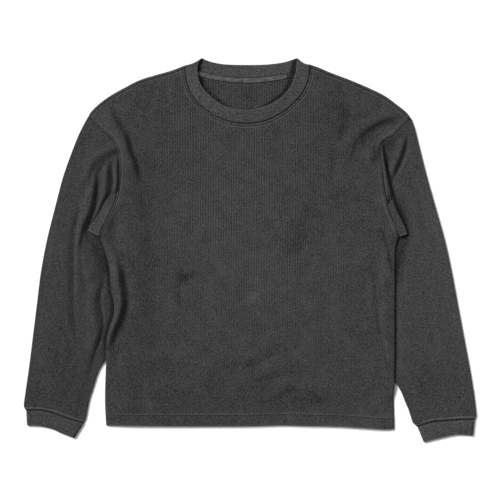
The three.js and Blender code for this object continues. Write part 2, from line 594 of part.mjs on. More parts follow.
/** Plan of a panel: a grid of points between its hem, sides and top edge. */
function panelPlan(rows, columns, neckPoints, inset, hemDrop) {
  const topSideShare = 1 - (inset / 262) * (1 - UNDERARM_SHARE);
  const hemAt = (u) => {
    const p = hemCurve.getPointAt(u);
    return { x: p.x, y: p.y - hemDrop * Math.sin(Math.PI * u) };
  };
  const [hemLeft, hemRight] = [edgeUp('left', 0, inset), edgeUp('right', 0, inset)];
  const [topLeft, topRight] = [edgeUp('left', topSideShare, 0), edgeUp('right', topSideShare, 0)];
  const plan = rows.map((v) => columns.map((u) => {
    const sideInset = v <= UNDERARM_SHARE ? inset : 0;
    const level = Math.min(v, topSideShare);
    const [left, right] = [edgeUp('left', level, sideInset), edgeUp('right', level, sideInset)];
    const top = u === 0 ? topLeft : u === 1 ? topRight : edgeTop(neckPoints, u, inset);
    const hem = u === 0 ? hemLeft : u === 1 ? hemRight : hemAt(u);
    return patchPoint(
      { at: hem, from: hemLeft, to: hemRight },
      { at: top, from: topLeft, to: topRight },
      left, right, u,
      { x: 1 - v, y: 1 - v },
      { x: v, y: v },
    );
  }));
  return withRowsBeside(relax(plan, rows, columns, RELAX_ROUNDS), HEM_STEPS);
}

/** Adds rows to a plan at set distances inwards from its first row. */
function withRowsBeside(plan, distances) {
  const last = plan[0].length - 1;
  const inward = plan[0].map((p, c) => {
    const ahead = unit(p, plan[1][c]);
    if (c === 0 || c === last) return ahead;
    const tangent = unit(plan[0][c - 1], plan[0][c + 1]);
    return facing({ x: -tangent.y, y: tangent.x }, ahead);
  });
  const added = distances.map((distance) => plan[0].map((p, c) => shifted(p, inward[c], distance)));
  return [plan[0], ...added, ...plan.slice(1)];
}
const transposed = (plan) => plan[0].map((_, c) => plan.map((row) => row[c]));
const withRowsBesideLast = (plan, distances) => flipped(withRowsBeside(flipped(plan), distances));

// How the front's cloth turns over at its sides and shoulders, with a row for each of the points nearest the edge:
// its place in the flat plan, how far in it lies on the outer and inner face, and what share of the way down
const TURN = [
  { place: 0, outerIn: 0, innerIn: KNIT, outerDown: 1, innerDown: 1 },
  { place: 0.4, outerIn: 0.02, innerIn: KNIT + 0.05, outerDown: 0.5, innerDown: 0.42 },
  { place: 1.2, outerIn: 1.1, innerIn: 2.3, outerDown: 0.14, innerDown: 0.12 },
  { place: 3.4, outerIn: 3.4, innerIn: 3.6, outerDown: 0, innerDown: 0 },
];
const EDGE_STEPS = TURN.slice(1).map((row) => row.place);

/** The front panel: its sides and shoulders turn down round the back, its armholes, neck and hem are open edges. */
function makeFront() {
  const columns = columnsAcross(SHOULDER_SHARES, NECK_STEPS);
  const hemmed = panelPlan([...sideRows, ...armholeRows], columns, neckFrontPoints, 0, 0);
  const leftSided = withRowsBeside(transposed(hemmed), EDGE_STEPS);
  const sided = transposed(withRowsBesideLast(leftSided, EDGE_STEPS));
  const plan = withRowsBesideLast(sided, EDGE_STEPS);
  const lastRow = plan.length - 1;
  const lastColumn = plan[0].length - 1;
  const neckColumns = [SHOULDER_SHARES.length - 1 + EDGE_STEPS.length];
  neckColumns.push(lastColumn - neckColumns[0]);
  const faces = [0, 1].map((face) => plan.map((row, r) => row.map((p, c) => {
    const fromSide = Math.min(c, lastColumn - c);
    const fromTop = lastRow - r;
    const sideTurn = (Math.sign(UNDERARM_ROW - r) + 1) / 2;
    const topTurn = c < neckColumns[0] || c > neckColumns[1] ? 1 : neckColumns.includes(c) ? 0.3 : 0;
    const base = lift(p.x, p.y);
    const top = base + TWO_LAYERS + bodyPuff(p.x, p.y);
    const hemRise = face === 0 && r < HEM_STEPS.length ? HEM_RISE : 0;
    const across = unit(row[Math.max(0, c - 1)], row[Math.min(lastColumn, c + 1)]);
    const turns = [
      { step: fromSide, share: sideTurn, inward: { x: c < lastColumn / 2 ? 1 : -1, y: 0 } },
      { step: fromTop, share: topTurn, inward: { x: across.y, y: -across.x } },
    ];
    let [q, z] = [p, top - face * KNIT + hemRise];
    for (const { step, share, inward } of turns) {
      if (step < TURN.length) {
        const { place, outerIn, innerIn, outerDown, innerDown } = TURN[step];
        const [reach, down] = face === 0 ? [outerIn, outerDown] : [innerIn, innerDown];
        q = shifted(q, inward, (reach - place) * share);
        z -= (top - base - SEAM - face * KNIT) * down * share;
      }
    }
    return [q.x, q.y, z];
  })));
  return sheetWall(faces[0], faces[1]);
}

/** The back panel lies flat on the surface, apart from the strips that the sleeves lift. */
function makeBack() {
  const columns = columnsAcross(BACK_SHOULDER_SHARES, BACK_NECK_STEPS);
  const rows = [...sideRows, ...plainer(armholeRows)];
  const plan = panelPlan(rows, columns, neckBackPoints, KNIT + SEAM, BACK_HEM_SHOWS);
  const face = (height) => plan.map((row) => row.map((p) => [p.x, p.y, lift(p.x, p.y) + height]));
  return sheetWall(face(KNIT), face(0));
}

/** The outline of a sleeve at a share of its length: points from its outer edge to its inner edge. */
function sleevePlan(side, shares) {
  const sleeve = SLEEVES[side];
  const outer = pointsAt(curveThrough(sleeve.outer), shares);
  const inner = pointsAt(curveThrough(sleeve.inner), shares);
  const head = flipped([...sleeve.underarm, ...EDGES[side].armhole.slice(sleeve.underarm.length)]);
  const cuff = pointsAt(curveThrough(sleeve.cuffSeam), armholeShares);
  const plan = shares.map((v, k) => armholeShares.map((u, c) => patchPoint(
    { at: head[c], from: head[0], to: head[ARMHOLE_STEPS] },
    { at: cuff[c], from: cuff[0], to: cuff[ARMHOLE_STEPS] },
    outer[k], inner[k], u,
    { x: (1 - v) ** 4, y: (1 - v) ** 4 },
    { x: v ** 4, y: v ** 4 },
  )));
  return relax(plan, shares, armholeShares, RELAX_ROUNDS);
}

/** Height of a sleeve's upper face: flat where the body or the gusset lies on it. */
function sleeveTop(side, p) {
  const gusset = gussetMiddle(side);
  const clearOfGusset = smooth(19, 34, nearest(gusset, p.x, p.y).distance);
  const clearOfInner = smooth(11, 26, nearest(INNER_PATHS[side], p.x, p.y).distance);
  return TWO_LAYERS + puff(p.x, p.y) * clearOfGusset * clearOfInner;
}

function makeSleeve(side) {
  const plan = sleevePlan(side, SLEEVE_SHARES);
  const last = plan.length - 1;
  const rings = plan.map((row, k) => {
    const seamed = k > 0 ? row : row.map((p, c) => {
      const down = unit(row[Math.max(0, c - 1)], row[Math.min(ARMHOLE_STEPS, c + 1)]);
      return shifted(p, facing({ x: -down.y, y: down.x }, { x: EDGES[side].outward, y: 0.05 }), SEAM);
    });
    const edge = unit(plan[Math.max(0, k - 1)][ARMHOLE_STEPS], plan[Math.min(last, k + 1)][ARMHOLE_STEPS]);
    const alongRing = unit(row[ARMHOLE_STEPS], row[ARMHOLE_STEPS - 1]);
    const offEdge = facing({ x: -edge.y, y: edge.x }, { x: EDGES[side].outward, y: 0 });
    const inward = unit({ x: 0, y: 0 }, mixPoint(alongRing, offEdge, 0.5));
    const heights = seamed.map((p) => sleeveTop(side, p));
    return flatRing(seamed, flipped(plainer(flipped(seamed))), heights, TWO_LAYERS, KNIT, inward);
  });
  return tubeWall(rings);
}

function makeCuff(side) {
  const seam = pointsAt(curveThrough(SLEEVES[side].cuffSeam), everySecond(armholeShares));
  const end = pointsAt(curveThrough(SLEEVES[side].cuffEnd), everySecond(armholeShares));
  const rings = [0, 0.35, 0.7, 1].map((v) => {
    const row = seam.map((p, c) => {
      const down = unit(p, end[c]);
      return mixPoint(shifted(p, down, SEAM), end[c], v);
    });
    const heights = row.map(() => CUFF_HEIGHT + 0.5 * Math.sin(Math.PI * v));
    return flatRing(row, everySecond(row), heights, CUFF_HEIGHT, CUFF_RIB);
  });
  return tubeWall(rings);
}

/** The neckband: its front half lies over its back half and is folded at both sides. */
function makeNeckband() {
  const front = { seam: neckFrontPoints, free: pointsAt(curveThrough(BAND_FRONT), neckShares) };
  const back = { seam: neckBackPoints, free: pointsAt(curveThrough(BAND_BACK), evenShares(BACK_NECK_STEPS)) };
  const half = (rows, v) => rows.seam.map((p, c) => {
    const up = unit(p, rows.free[c]);
    const q = mixPoint(shifted(p, up, SEAM * 1.6), rows.free[c], v);
    const last = rows.seam.length - 1;
    const dip = c === 0 ? BAND_SIDE_DIP.left : c === last ? BAND_SIDE_DIP.right : 0;
    return { x: q.x, y: q.y - dip * 4 * v * (1 - v) };
  });
  const rings = [0, 0.3, 0.65, 1].map((v) => {
    const [upper, lower] = [half(front, v), half(back, v)];
    const heights = upper.map((_, c) => BAND_HEIGHT + BAND_STANDS * v * Math.sin((Math.PI * c) / NECK_STEPS) ** 0.5);
    return flatRing(upper, lower, heights, BAND_HEIGHT, RIB);
  });
  return tubeWall(rings);
}

/** The fold edge of a gusset, matched to the armhole steps it runs along. */
function gussetEdges(side) {
  const steps = SLEEVES[side].gussetSteps;
  const seam = EDGES[side].armhole.slice(0, steps + 1);
  const fold = pointsAt(curveThrough(SLEEVES[side].gussetFold), evenShares(steps));
  return { seam, fold };
}
function gussetMiddle(side) {
  const { seam, fold } = gussetEdges(side);
  return seam.map((p, k) => [(p.x + fold[k].x) / 2, (p.y + fold[k].y) / 2]);
}

// How a gusset turns down along its fold: distance from the fold and depth below its top, on both faces
const GUSSET_STANDS = 2.4; // height of a gusset above the sleeve that it lies on
const GUSSET_TURN = [
  { outerIn: 2.4, outerDown: 0, innerIn: 2.6, innerDown: 0 },
  { outerIn: 0.7, outerDown: 0.5, innerIn: 1.8, innerDown: 0.2 },
  { outerIn: 0, outerDown: 1.3, innerIn: KNIT, innerDown: 0.5 },
  { outerIn: 0.1, outerDown: GUSSET_STANDS, innerIn: KNIT, innerDown: GUSSET_STANDS - KNIT },
];

/** The underarm gusset, which lies on the sleeve and turns down along its fold. */
function makeGusset(side) {
  const { seam, fold } = gussetEdges(side);
  const crest = TWO_LAYERS + SEAM + GUSSET_STANDS;
  const faces = [[], []];
  seam.forEach((p, r) => {
    const out = unit(p, fold[r]);
    const width = Math.hypot(fold[r].x - p.x, fold[r].y - p.y);
    const start = lift(p.x, p.y) + TWO_LAYERS + bodyPuff(p.x, p.y);
    const sectionAt = (share) => ({
      away: mix(SEAM, width, share),
      z: mix(Math.max(start, crest), crest, smooth(0, 0.9, share)),
    });
    const flat = [0, 0.35, 0.7].map(sectionAt);
    const outerRow = [...flat, ...GUSSET_TURN.map((t) => ({ away: width - t.outerIn, z: crest - t.outerDown }))];
    const innerRow = [
      ...flat.map(({ away, z }) => ({ away, z: z - KNIT })),
      ...GUSSET_TURN.map((t) => ({ away: width - t.innerIn, z: crest - KNIT - t.innerDown })),
    ];
    [outerRow, innerRow].forEach((points, face) => {
      faces[face].push(points.map(({ away, z }) => {
        const q = shifted(p, out, away);
        return [q.x, q.y, z];
      }));
    });
  });
  return sheetWall(faces[0], faces[1]);
}

/** The tape over the seam inside the back neck, lying on the back panel just below the neckband. */
const TAPE_DEPTH = 8.5;
const TAPE_ENDS = [0.1, 0.81]; // where it starts and ends, as shares of the back neckline
function makeTape() {
  const between = evenShares(BACK_NECK_STEPS).filter((t) => t > TAPE_ENDS[0] && t < TAPE_ENDS[1]);
  const shares = [TAPE_ENDS[0], ...between, TAPE_ENDS[1]];
  const rowAt = (down, height) => shares.map((t) => {
    const p = along(neckBackPoints, t);
    return [p.x, p.y - down, KNIT + SEAM + height];
  });
  const faces = [TAPE, 0].map((height) => [0.4, TAPE_DEPTH + 0.4].map((down) => rowAt(down, height)));
  return sheetWall(faces[0], faces[1]);
}

const knitMaterial = new THREE.MeshStandardMaterial({ color: 0x3f4040, roughness: 0.95, metalness: 0 });
const ribMaterial = new THREE.MeshStandardMaterial({ color: 0x464747, roughness: 0.95, metalness: 0 });
const tapeMaterial = new THREE.MeshStandardMaterial({ color: 0x535454, roughness: 0.9, metalness: 0 });

const thermalTop = new THREE.Group();
const addPiece = (name, geometry, material) => {
  const mesh = new THREE.Mesh(geometry, material);
  mesh.name = name;
  thermalTop.add(mesh);
};
addPiece('front_panel', makeFront(), knitMaterial);
addPiece('back_panel', makeBack(), knitMaterial);
for (const side of ['left', 'right']) {
  addPiece(`sleeve_${side}`, makeSleeve(side), knitMaterial);
  addPiece(`gusset_${side}`, makeGusset(side), knitMaterial);
  addPiece(`cuff_${side}`, makeCuff(side), ribMaterial);
}
addPiece('neckband', makeNeckband(), ribMaterial);
addPiece('neck_tape', makeTape(), tapeMaterial);

export default thermalTop;
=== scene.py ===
"""Long-sleeved thermal top in faded charcoal rib knit, laid flat with the sleeves beside the body.

Plans, heights and tables are in millimetres. A piece becomes metres when its mesh is made. Left and right
are the viewer's, looking down with the neck at the top.
"""
import math

import bpy
import numpy as np
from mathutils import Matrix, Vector


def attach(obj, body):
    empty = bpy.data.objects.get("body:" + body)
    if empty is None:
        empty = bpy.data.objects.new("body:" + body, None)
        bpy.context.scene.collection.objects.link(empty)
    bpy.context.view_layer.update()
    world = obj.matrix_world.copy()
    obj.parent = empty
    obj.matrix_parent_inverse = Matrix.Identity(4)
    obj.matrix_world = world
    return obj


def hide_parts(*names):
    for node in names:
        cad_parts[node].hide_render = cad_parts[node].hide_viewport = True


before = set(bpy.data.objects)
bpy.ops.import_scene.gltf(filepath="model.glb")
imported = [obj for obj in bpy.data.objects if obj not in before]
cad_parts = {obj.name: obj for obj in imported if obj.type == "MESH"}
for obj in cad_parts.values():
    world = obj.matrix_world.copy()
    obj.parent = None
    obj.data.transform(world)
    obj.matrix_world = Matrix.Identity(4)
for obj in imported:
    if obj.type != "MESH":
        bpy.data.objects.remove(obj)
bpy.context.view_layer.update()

MM = 0.001
BODY = "root"

# Cloth and how it lies
KNIT = 1.5  # wall of the body and sleeve knit
RIB = 2.2  # wall of the doubled rib at the neck
CUFF_RIB = 2.0  # wall of the doubled rib at the wrists
TAPE = 1.0  # wall of the neck tape
SEAM = 0.3  # gap between two pieces where they are sewn
TWO_LAYERS = 3.9  # height of two layers of knit lying on each other
CUFF_HEIGHT = 4.9  # height of a flattened cuff
CUFF_SWELL = 0.5  # how much higher it is halfway along
BAND_HEIGHT = 5.6  # height of the flattened neckband
BAND_DEPTH = 24.5  # from the neckband's seam to its free edge
BAND_GAP = 1.6 * SEAM  # gap at the neckband's seam
BAND_STANDS = 4.6  # how much higher the band's free edge stands in the middle of the front
LIE = 4.4  # how far the body's sides are lifted by the sleeves tucked under them
# Where that lift starts and where it is full: above and below a tucked stretch, and beside it
LIFT_ABOVE, LIFT_BELOW, LIFT_BESIDE = np.array([78, 32]), np.array([-36, -3]), (24, 2)
LOFT = 1.9  # air that stays between the layers away from the edges
LOFT_REACH = 42  # distance from an outer edge over which that air builds up
FOLDS_REACH = 12  # the same for the folds
HEM_RISE = 0.55  # extra height of the turned-up hem
HEM_DEPTH = 21.8  # depth of the turned-up hem
HEM_SLOPE = (1.6, 1.2)  # how far above and below that depth the cloth slopes up to it
LEAST_PUFF = -0.5  # how far a crease may press the upper layer down
BACK_HEM_SHOWS = 1.2  # how far the back's hem lies below the front's at its middle
BACK_CORNER = 262  # distance from the middle beyond which the back's hem is thin up to its corner
CORNER_DROP = 1.2  # how far a panel's shoulder corner drops, as a share of how far its edge is set in
TAPE_DEPTH = 8.5
TAPE_ENDS = (0.1, 0.81)  # where the neck tape starts and ends, as shares of the back neckline
ALLOWANCE = (0.8, 4.4, 1.7)  # ridge of the seam allowance: height, distance from the cuff, half width
# Grooves along the seams: depth and width
GROOVES = {
    "armhole": (0.7, 2.2), "neck": (0.3, 2.2), "sleeve end": (0.6, 1.8),
    "cuff": (0.8, 2.2), "band": (0.5, 2.4), "gusset": (0.6, 2.2),
}
FAR = 60  # a distance at which a seam doesn't show
DARKEST_PAINTED_SHADE = 0.85  # the most that the painted crease shade darkens the colour
UNDERARM_SHARE = 0.58  # share of a panel's side edge at which its side meets the armhole
NECK_SHARES = (0.3, 0.69)  # shares of a panel's top edge at which the neckline starts and ends

# Body sides from just above the hem to the underarm: height, left edge, right edge
SIDES = [
    (-300, -266, 265), (-276, -266.8, 264.3), (-250, -266.5, 266),
    (-225, -265.5, 266.5), (-200, -264.4, 266.5), (-165, -264, 266.5), (-141, -257.6, 266.5),
    (-117, -250, 266.5), (-97, -250.2, 266.5), (-67, -257, 266.5), (-40, -257.6, 266.5),
    (-22, -260.4, 266.5), (-2, -266.4, 266.8), (12, -271, 270), (25, -276, 274.5),
]
# Armhole seams from underarm to shoulder
ARMHOLES = {
    "left": [
        (-276, 25), (-267, 49), (-255, 72.5), (-246, 99), (-242, 122.5), (-240.3, 150),
        (-242.3, 174.8), (-246, 190), (-254.7, 204.8), (-269.4, 216.6), (-284, 231), (-298, 244.4),
    ],
    "right": [
        (274.5, 25), (267.5, 42), (259, 65), (251.5, 92), (246.5, 121), (243.5, 150),
        (240, 175), (238.5, 188), (246, 199.5), (264, 210.7), (281.5, 228.2), (295.8, 242.5),
    ],
}
# Shoulder edges from the armhole to the neck
SHOULDERS = {
    "left": [
        (-298, 244.4), (-292.6, 254), (-277.8, 268.6), (-257.6, 283.4), (-231.8, 298),
        (-202.4, 312.8), (-171, 322.5), (-145, 330), (-120.2, 339.5),
    ],
    "right": [
        (295.8, 242.5), (287, 254), (268.6, 268.6), (248.4, 283.4), (219, 298),
        (184, 312.8), (145.4, 327.5), (127, 335.5), (111, 341),
    ],
}
# Hem of the front, and the neckband's seam and free edge, all from left to right
HEM = [
    (-264.5, -322.7), (-180, -323.5), (-90, -323.5), (0, -323), (55, -321.5),
    (95, -322.5), (160, -324), (215, -327.5), (248, -330), (265.5, -329),
]
NECK_FRONT = [
    (-120.2, 339.5), (-117, 313), (-108.6, 289), (-97.5, 273), (-81, 258.5), (-66, 247.5),
    (-47, 238.8), (-27, 234), (-4.6, 232.2), (24.5, 236), (46, 244.7), (66.8, 257.6),
    (84, 273), (98.4, 291.3), (107.8, 313), (111, 341),
]
NECK_BACK = [
    (-120.2, 339.5), (-106, 333.8), (-91.6, 328.3), (-70.5, 322.7), (-47, 318.9), (-22, 316.5),
    (3, 316.4), (35, 319), (62.6, 323), (81.5, 327.5), (97, 333.5), (111, 341),
]
BAND_FRONT = [
    (-88.5, 353.3), (-95.2, 342), (-95.9, 327.3), (-92.7, 309.5), (-84.3, 295.5), (-74.7, 284.6),
    (-60, 272.3), (-41, 262.3), (-21.9, 258), (-5.2, 257), (14, 259.6), (35.1, 267),
    (56.1, 279.7), (71, 295.5), (80.4, 312.4), (84.8, 331.6), (87, 353.3),
]
BAND_BACK = [
    (-88.5, 353.3), (-81, 349.4), (-70.5, 345.9), (-55.8, 342.8), (-38.8, 341.1), (-5.2, 340.4),
    (24.5, 340.9), (45.6, 342.7), (62.6, 345.4), (75.3, 349.2), (87, 353.3),
]
BAND_SIDE_DIP = (2.6, 3.4)  # how hollow the band's folded side edges are, left and right
# Sleeves: the outer edge from shoulder to cuff, and the inner edge from underarm to cuff, which lies under
# the body's side until the sleeve comes out below
SLEEVE_OUTER = {
    "left": [
        (-298, 244.4), (-309, 224.5), (-322, 195), (-343.2, 136.2), (-358.8, 77.3), (-373.5, 18.4),
        (-384.6, -40.5), (-392, -99.4), (-399.3, -158.2), (-406.6, -217), (-413, -261.3),
        (-416, -286), (-411.6, -295.2),
    ],
    "right": [
        (295.8, 242.5), (302.7, 224.5), (310, 195), (324.8, 136), (341.3, 77.3), (357.9, 18.4),
        (370.8, -40.5), (381.8, -99.4), (392.8, -158.2), (403.9, -217), (411.2, -261.3),
        (415.6, -296), (416, -306), (413.2, -312),
    ],
}
SLEEVE_INNER = {
    "left": [
        (-267.2, 27), (-265, 10), (-260, -4), (-253, -22), (-249.5, -42), (-249, -67), (-243, -97),
        (-242.5, -117), (-249.6, -141), (-257, -165), (-260, -186), (-265, -201), (-275, -217),
        (-281.5, -231.8), (-286, -246.6), (-290.7, -261.3), (-295.3, -276), (-298.5, -292),
        (-301.8, -309), (-306, -319),
    ],
    "right": [
        (265.8, 27), (264, 10), (260.5, -4), (258.5, -22), (258.5, -60), (258.5, -110),
        (258.5, -166), (258.5, -212), (261, -230), (266.6, -244), (273, -252), (279.5, -264.5),
        (285, -278.5), (291, -292.5), (295.5, -306), (299.5, -317.5), (308, -325.5),
    ],
}
SLEEVE_UNDERARM = {"left": [(-268.4, 40), (-267.2, 27)], "right": [(266.9, 40), (265.8, 27)]}
COMES_OUT = {"left": -201, "right": -244}  # height at which a sleeve comes out from under the body
CUFF_SEAM = {
    "left": [
        (-411.6, -295.2), (-386.6, -294.8), (-363.2, -299.2), (-342.6, -306.5),
        (-322.2, -313.9), (-306, -319),
    ],
    "right": [
        (413.2, -312), (392, -312.2), (366.7, -313.4), (337.5, -315.8), (322.7, -319.8), (308, -325.5),
    ],
}
CUFF_END = {
    "left": [
        (-410.1, -322.7), (-389.6, -323.3), (-366.2, -328), (-348.5, -336), (-322.7, -346.1),
    ],
    "right": [(410, -341.2), (393, -339.7), (375.5, -339.9), (346.1, -346.3), (319.2, -353.2)],
}
GUSSET_FOLD = {
    "left": [
        (-296.5, 35.5), (-293.2, 45), (-284.6, 56), (-274.7, 71), (-267, 88), (-256, 101),
    ],
    "right": [(288, 29.5), (286, 39), (276.5, 58.9), (265.5, 83), (261, 92)],
}
GUSSET_REACH = {"left": 5 / 16, "right": 4 / 16}  # share of the armhole that the gusset runs up
SLEEVE_HEAD_START = 2 / 16  # share of the armhole, from the underarm, at which the sleeve's head starts
GUSSET_STANDS = {"left": 4.0, "right": 7.0}  # height of a gusset above the sleeve that it lies on

# A tuck down the left sleeve, beside the body
SLEEVE_TUCK = [
    (-262, -20), (-269, -56), (-275, -80), (-276, -102), (-272, -124), (-271, -147), (-278, -170),
    (-286, -193), (-293, -216), (-298, -244),
]
# Folds of the upper layer: height (a valley is below 0), reach on the left and on the right of the path
# walking from its first point to its last, and the path
FOLDS = [
    # Left shoulder and sleeve head
    (8, 12, 20, [(-268, 262), (-247, 228), (-233, 206), (-227, 184), (-217, 158), (-207, 118)]),
    (-3, 12, 8, [(-257, 262), (-237, 230), (-223, 207), (-217, 184), (-206, 156), (-196, 116)]),
    (3.8, 8, 15, [(-232, 192), (-252, 185), (-271, 176), (-287, 162), (-297, 142), (-302, 112)]),
    (-3, 4.5, 4.5, [(-234, 180), (-252, 174), (-264, 165), (-274, 152), (-284, 132)]),
    (6, 5.5, 5, [(-246, 172), (-246, 150), (-245.5, 128), (-249, 106), (-257, 92)]),
    (-3.5, 4, 4.5, [(-256, 172), (-254.5, 145), (-253, 124), (-257, 102), (-266, 84)]),
    (5.5, 9, 7, [(-265, 162), (-265, 132), (-268, 101), (-276, 74), (-290, 46)]),
    (-4, 5, 5.5, [(-277, 156), (-279, 125), (-281, 102), (-284, 80), (-293, 56), (-304, 32)]),
    (6, 7, 16, [(-287, 146), (-289, 108), (-295, 78), (-305, 52), (-313, 26), (-317, -6)]),
    # Left sleeve
    (-2.6, 10, 10, [(-309, 82), (-320, 46), (-326, 0), (-327, -74), (-326, -125), (-316, -175)]),
    (2.2, 14, 10, [(-308, 66), (-314, 34), (-316, -18), (-316, -92)]),
    (4.5, 30, 14, [(-312, 34), (-306, 4), (-298, -30), (-292, -62)]),
    (3.5, 8, 22, [(-279, -44), (-286, -84), (-287, -112), (-281, -144), (-284, -164), (-298, -196)]),
    (-4.2, 4.8, 4.8, SLEEVE_TUCK),
    # Left side of the body
    (7, 9, 16, [
        (-252, -2), (-244, -36), (-240, -66), (-237, -100), (-246, -134), (-256, -160), (-262, -192),
    ]),
    (-3, 14, 7, [(-235, -24), (-230, -56), (-226, -92), (-234, -124), (-247, -152), (-256, -186)]),
    (-1.2, 30, 30, [(-190, 110), (-194, 10), (-190, -110)]),
    (3, 22, 22, [(-275, 14), (-266, 46), (-254, 70), (-243, 98)]),
    # Right shoulder, chest and sleeve head
    (3.5, 11, 24, [(272, 250), (236, 238), (206, 222), (188, 196), (180, 166)]),
    (-3, 12, 9, [(288, 242), (257, 235), (238, 229), (221, 216), (211, 202), (204, 172)]),
    (4.5, 17, 12, [(281, 220), (249, 205), (229, 187), (218, 155)]),
    (-1.8, 12, 12, [(171, 272), (177, 248), (173, 219), (165, 193)]),
    (-3, 9, 5, [(291, 216), (286, 186), (275, 157), (263, 130)]),
    (4.5, 8, 13, [(282, 208), (276, 182), (265, 154), (256, 134)]),
    (7, 5, 6, [(238, 204), (244, 172), (247, 150), (251.5, 128), (256, 106), (262, 84), (272, 58)]),
    (-4, 12, 4, [
        (241, 204), (249.5, 172), (253, 150), (258, 128), (264, 104), (272, 82), (284, 56), (298, 20),
    ]),
    # Right side of the body
    (3, 22, 22, [(273, 14), (266, 46), (255, 72), (249, 100)]),
    (-3, 8, 8, [(238, 42), (250, 15), (258, -8)]),
    (-0.8, 8, 10, [(226, -64), (232, -109), (243, -177), (254, -223), (261, -244)]),
    # Low front
    (-1.6, 14, 12, [(-46, -212), (10, -208), (42, -190), (82, -168)]),
    (2.2, 14, 14, [(60, -274), (84, -264), (108, -266), (130, -280)]),
    # Smaller creases and soft swells
    (-0.9, 6, 6, [(-310, 27), (-309, -20), (-306, -62)]),
    (1.1, 9, 7, [(-290, 112), (-308, 84), (-315, 52)]),
    (-1.0, 7, 9, [(-292, -6), (-298, -48), (-300, -96)]),
    (1.0, 10, 10, [(-352, 60), (-362, 10), (-368, -52)]),
    (-0.8, 9, 9, [(-338, -120), (-350, -176), (-352, -226)]),
    (0.9, 10, 8, [(-322, -196), (-332, -236), (-352, -272)]),
    (-0.9, 7, 7, [(-372, -212), (-386, -246), (-388, -276)]),
    (0.8, 12, 12, [(-356, -236), (-366, -262), (-372, -284)]),
    (-1.0, 8, 10, [(-285, 214), (-300, 190), (-306, 160)]),
    (0.8, 10, 10, [(-322, 168), (-334, 128), (-346, 92)]),
    (-0.8, 10, 10, [(-170, 296), (-184, 262), (-181, 226)]),
    (-0.7, 9, 9, [(-150, 308), (-152, 276), (-144, 244)]),
    (-1.0, 12, 9, [(-199, 108), (-196, 78), (-200, 44)]),
    (-0.8, 10, 10, [(-136, -30), (-128, -64), (-130, -108)]),
    (-0.9, 12, 10, [(-142, -36), (-112, -52), (-96, -34)]),
    (-0.7, 4, 4, [(-129, -60), (-129, -92), (-130, -116)]),
    (0.9, 26, 26, [(10, -40), (14, -90), (8, -130)]),
    (-0.8, 14, 10, [(86, 52), (104, 34), (98, 8), (70, -8)]),
    (0.8, 12, 12, [(60, 60), (84, 40), (80, 16)]),
    (-0.8, 10, 12, [(151, 165), (154, 140), (151, 112)]),
    (-0.7, 10, 10, [(120, 70), (134, 44), (140, 12)]),
    (-0.9, 9, 9, [(196, 96), (210, 70), (214, 38)]),
    (0.8, 12, 10, [(176, 60), (188, 20), (186, -24)]),
    (-0.9, 10, 10, [(206, -30), (214, -74), (210, -112)]),
    (-0.9, 7, 9, [(236, -196), (250, -238), (262, -262)]),
    (-0.9, 9, 12, [(8, -238), (46, -232), (86, -226)]),
    (-0.9, 10, 12, [(54, -274), (96, -254), (130, -272)]),
    (0.8, 14, 14, [(-160, -240), (-120, -262), (-70, -256)]),
    (-0.7, 12, 12, [(-222, -214), (-200, -252), (-176, -282)]),
    (0.7, 20, 20, [(-80, 120), (-92, 60), (-84, 0)]),
    (0.8, 24, 24, [(50, 160), (44, 100), (56, 40)]),
    (-0.9, 9, 9, [(309, 118), (318, 70), (330, 20)]),
    (0.8, 10, 10, [(296, 96), (308, 50), (318, 0)]),
    (-0.8, 12, 9, [(318, -60), (330, -120), (342, -178)]),
    (0.9, 10, 10, [(336, -190), (350, -236), (368, -274)]),
    (-0.9, 8, 8, [(314, -230), (330, -262), (350, -288)]),
    (-0.7, 8, 8, [(372, -216), (384, -250), (388, -284)]),
    (-0.8, 9, 9, [(278, -40), (284, -100), (290, -160)]),
    (0.7, 10, 10, [(330, 104), (346, 50), (352, 6)]),
]
# Shallow troughs pressed up into the back panel, seen from below, in the same columns
BACK_FOLDS = [
    (1.2, 12, 16, [(-170, 230), (-150, 160), (-156, 90)]),
    (1.1, 14, 10, [(-120, -20), (-150, -90), (-144, -170)]),
    (1.2, 16, 12, [(30, 200), (52, 110), (40, 30), (62, -50)]),
    (1.0, 12, 18, [(140, 190), (160, 120), (150, 60)]),
    (1.1, 12, 12, [(-40, -120), (-20, -190), (20, -230)]),
    (1.0, 10, 14, [(120, -60), (150, -130), (140, -210)]),
]
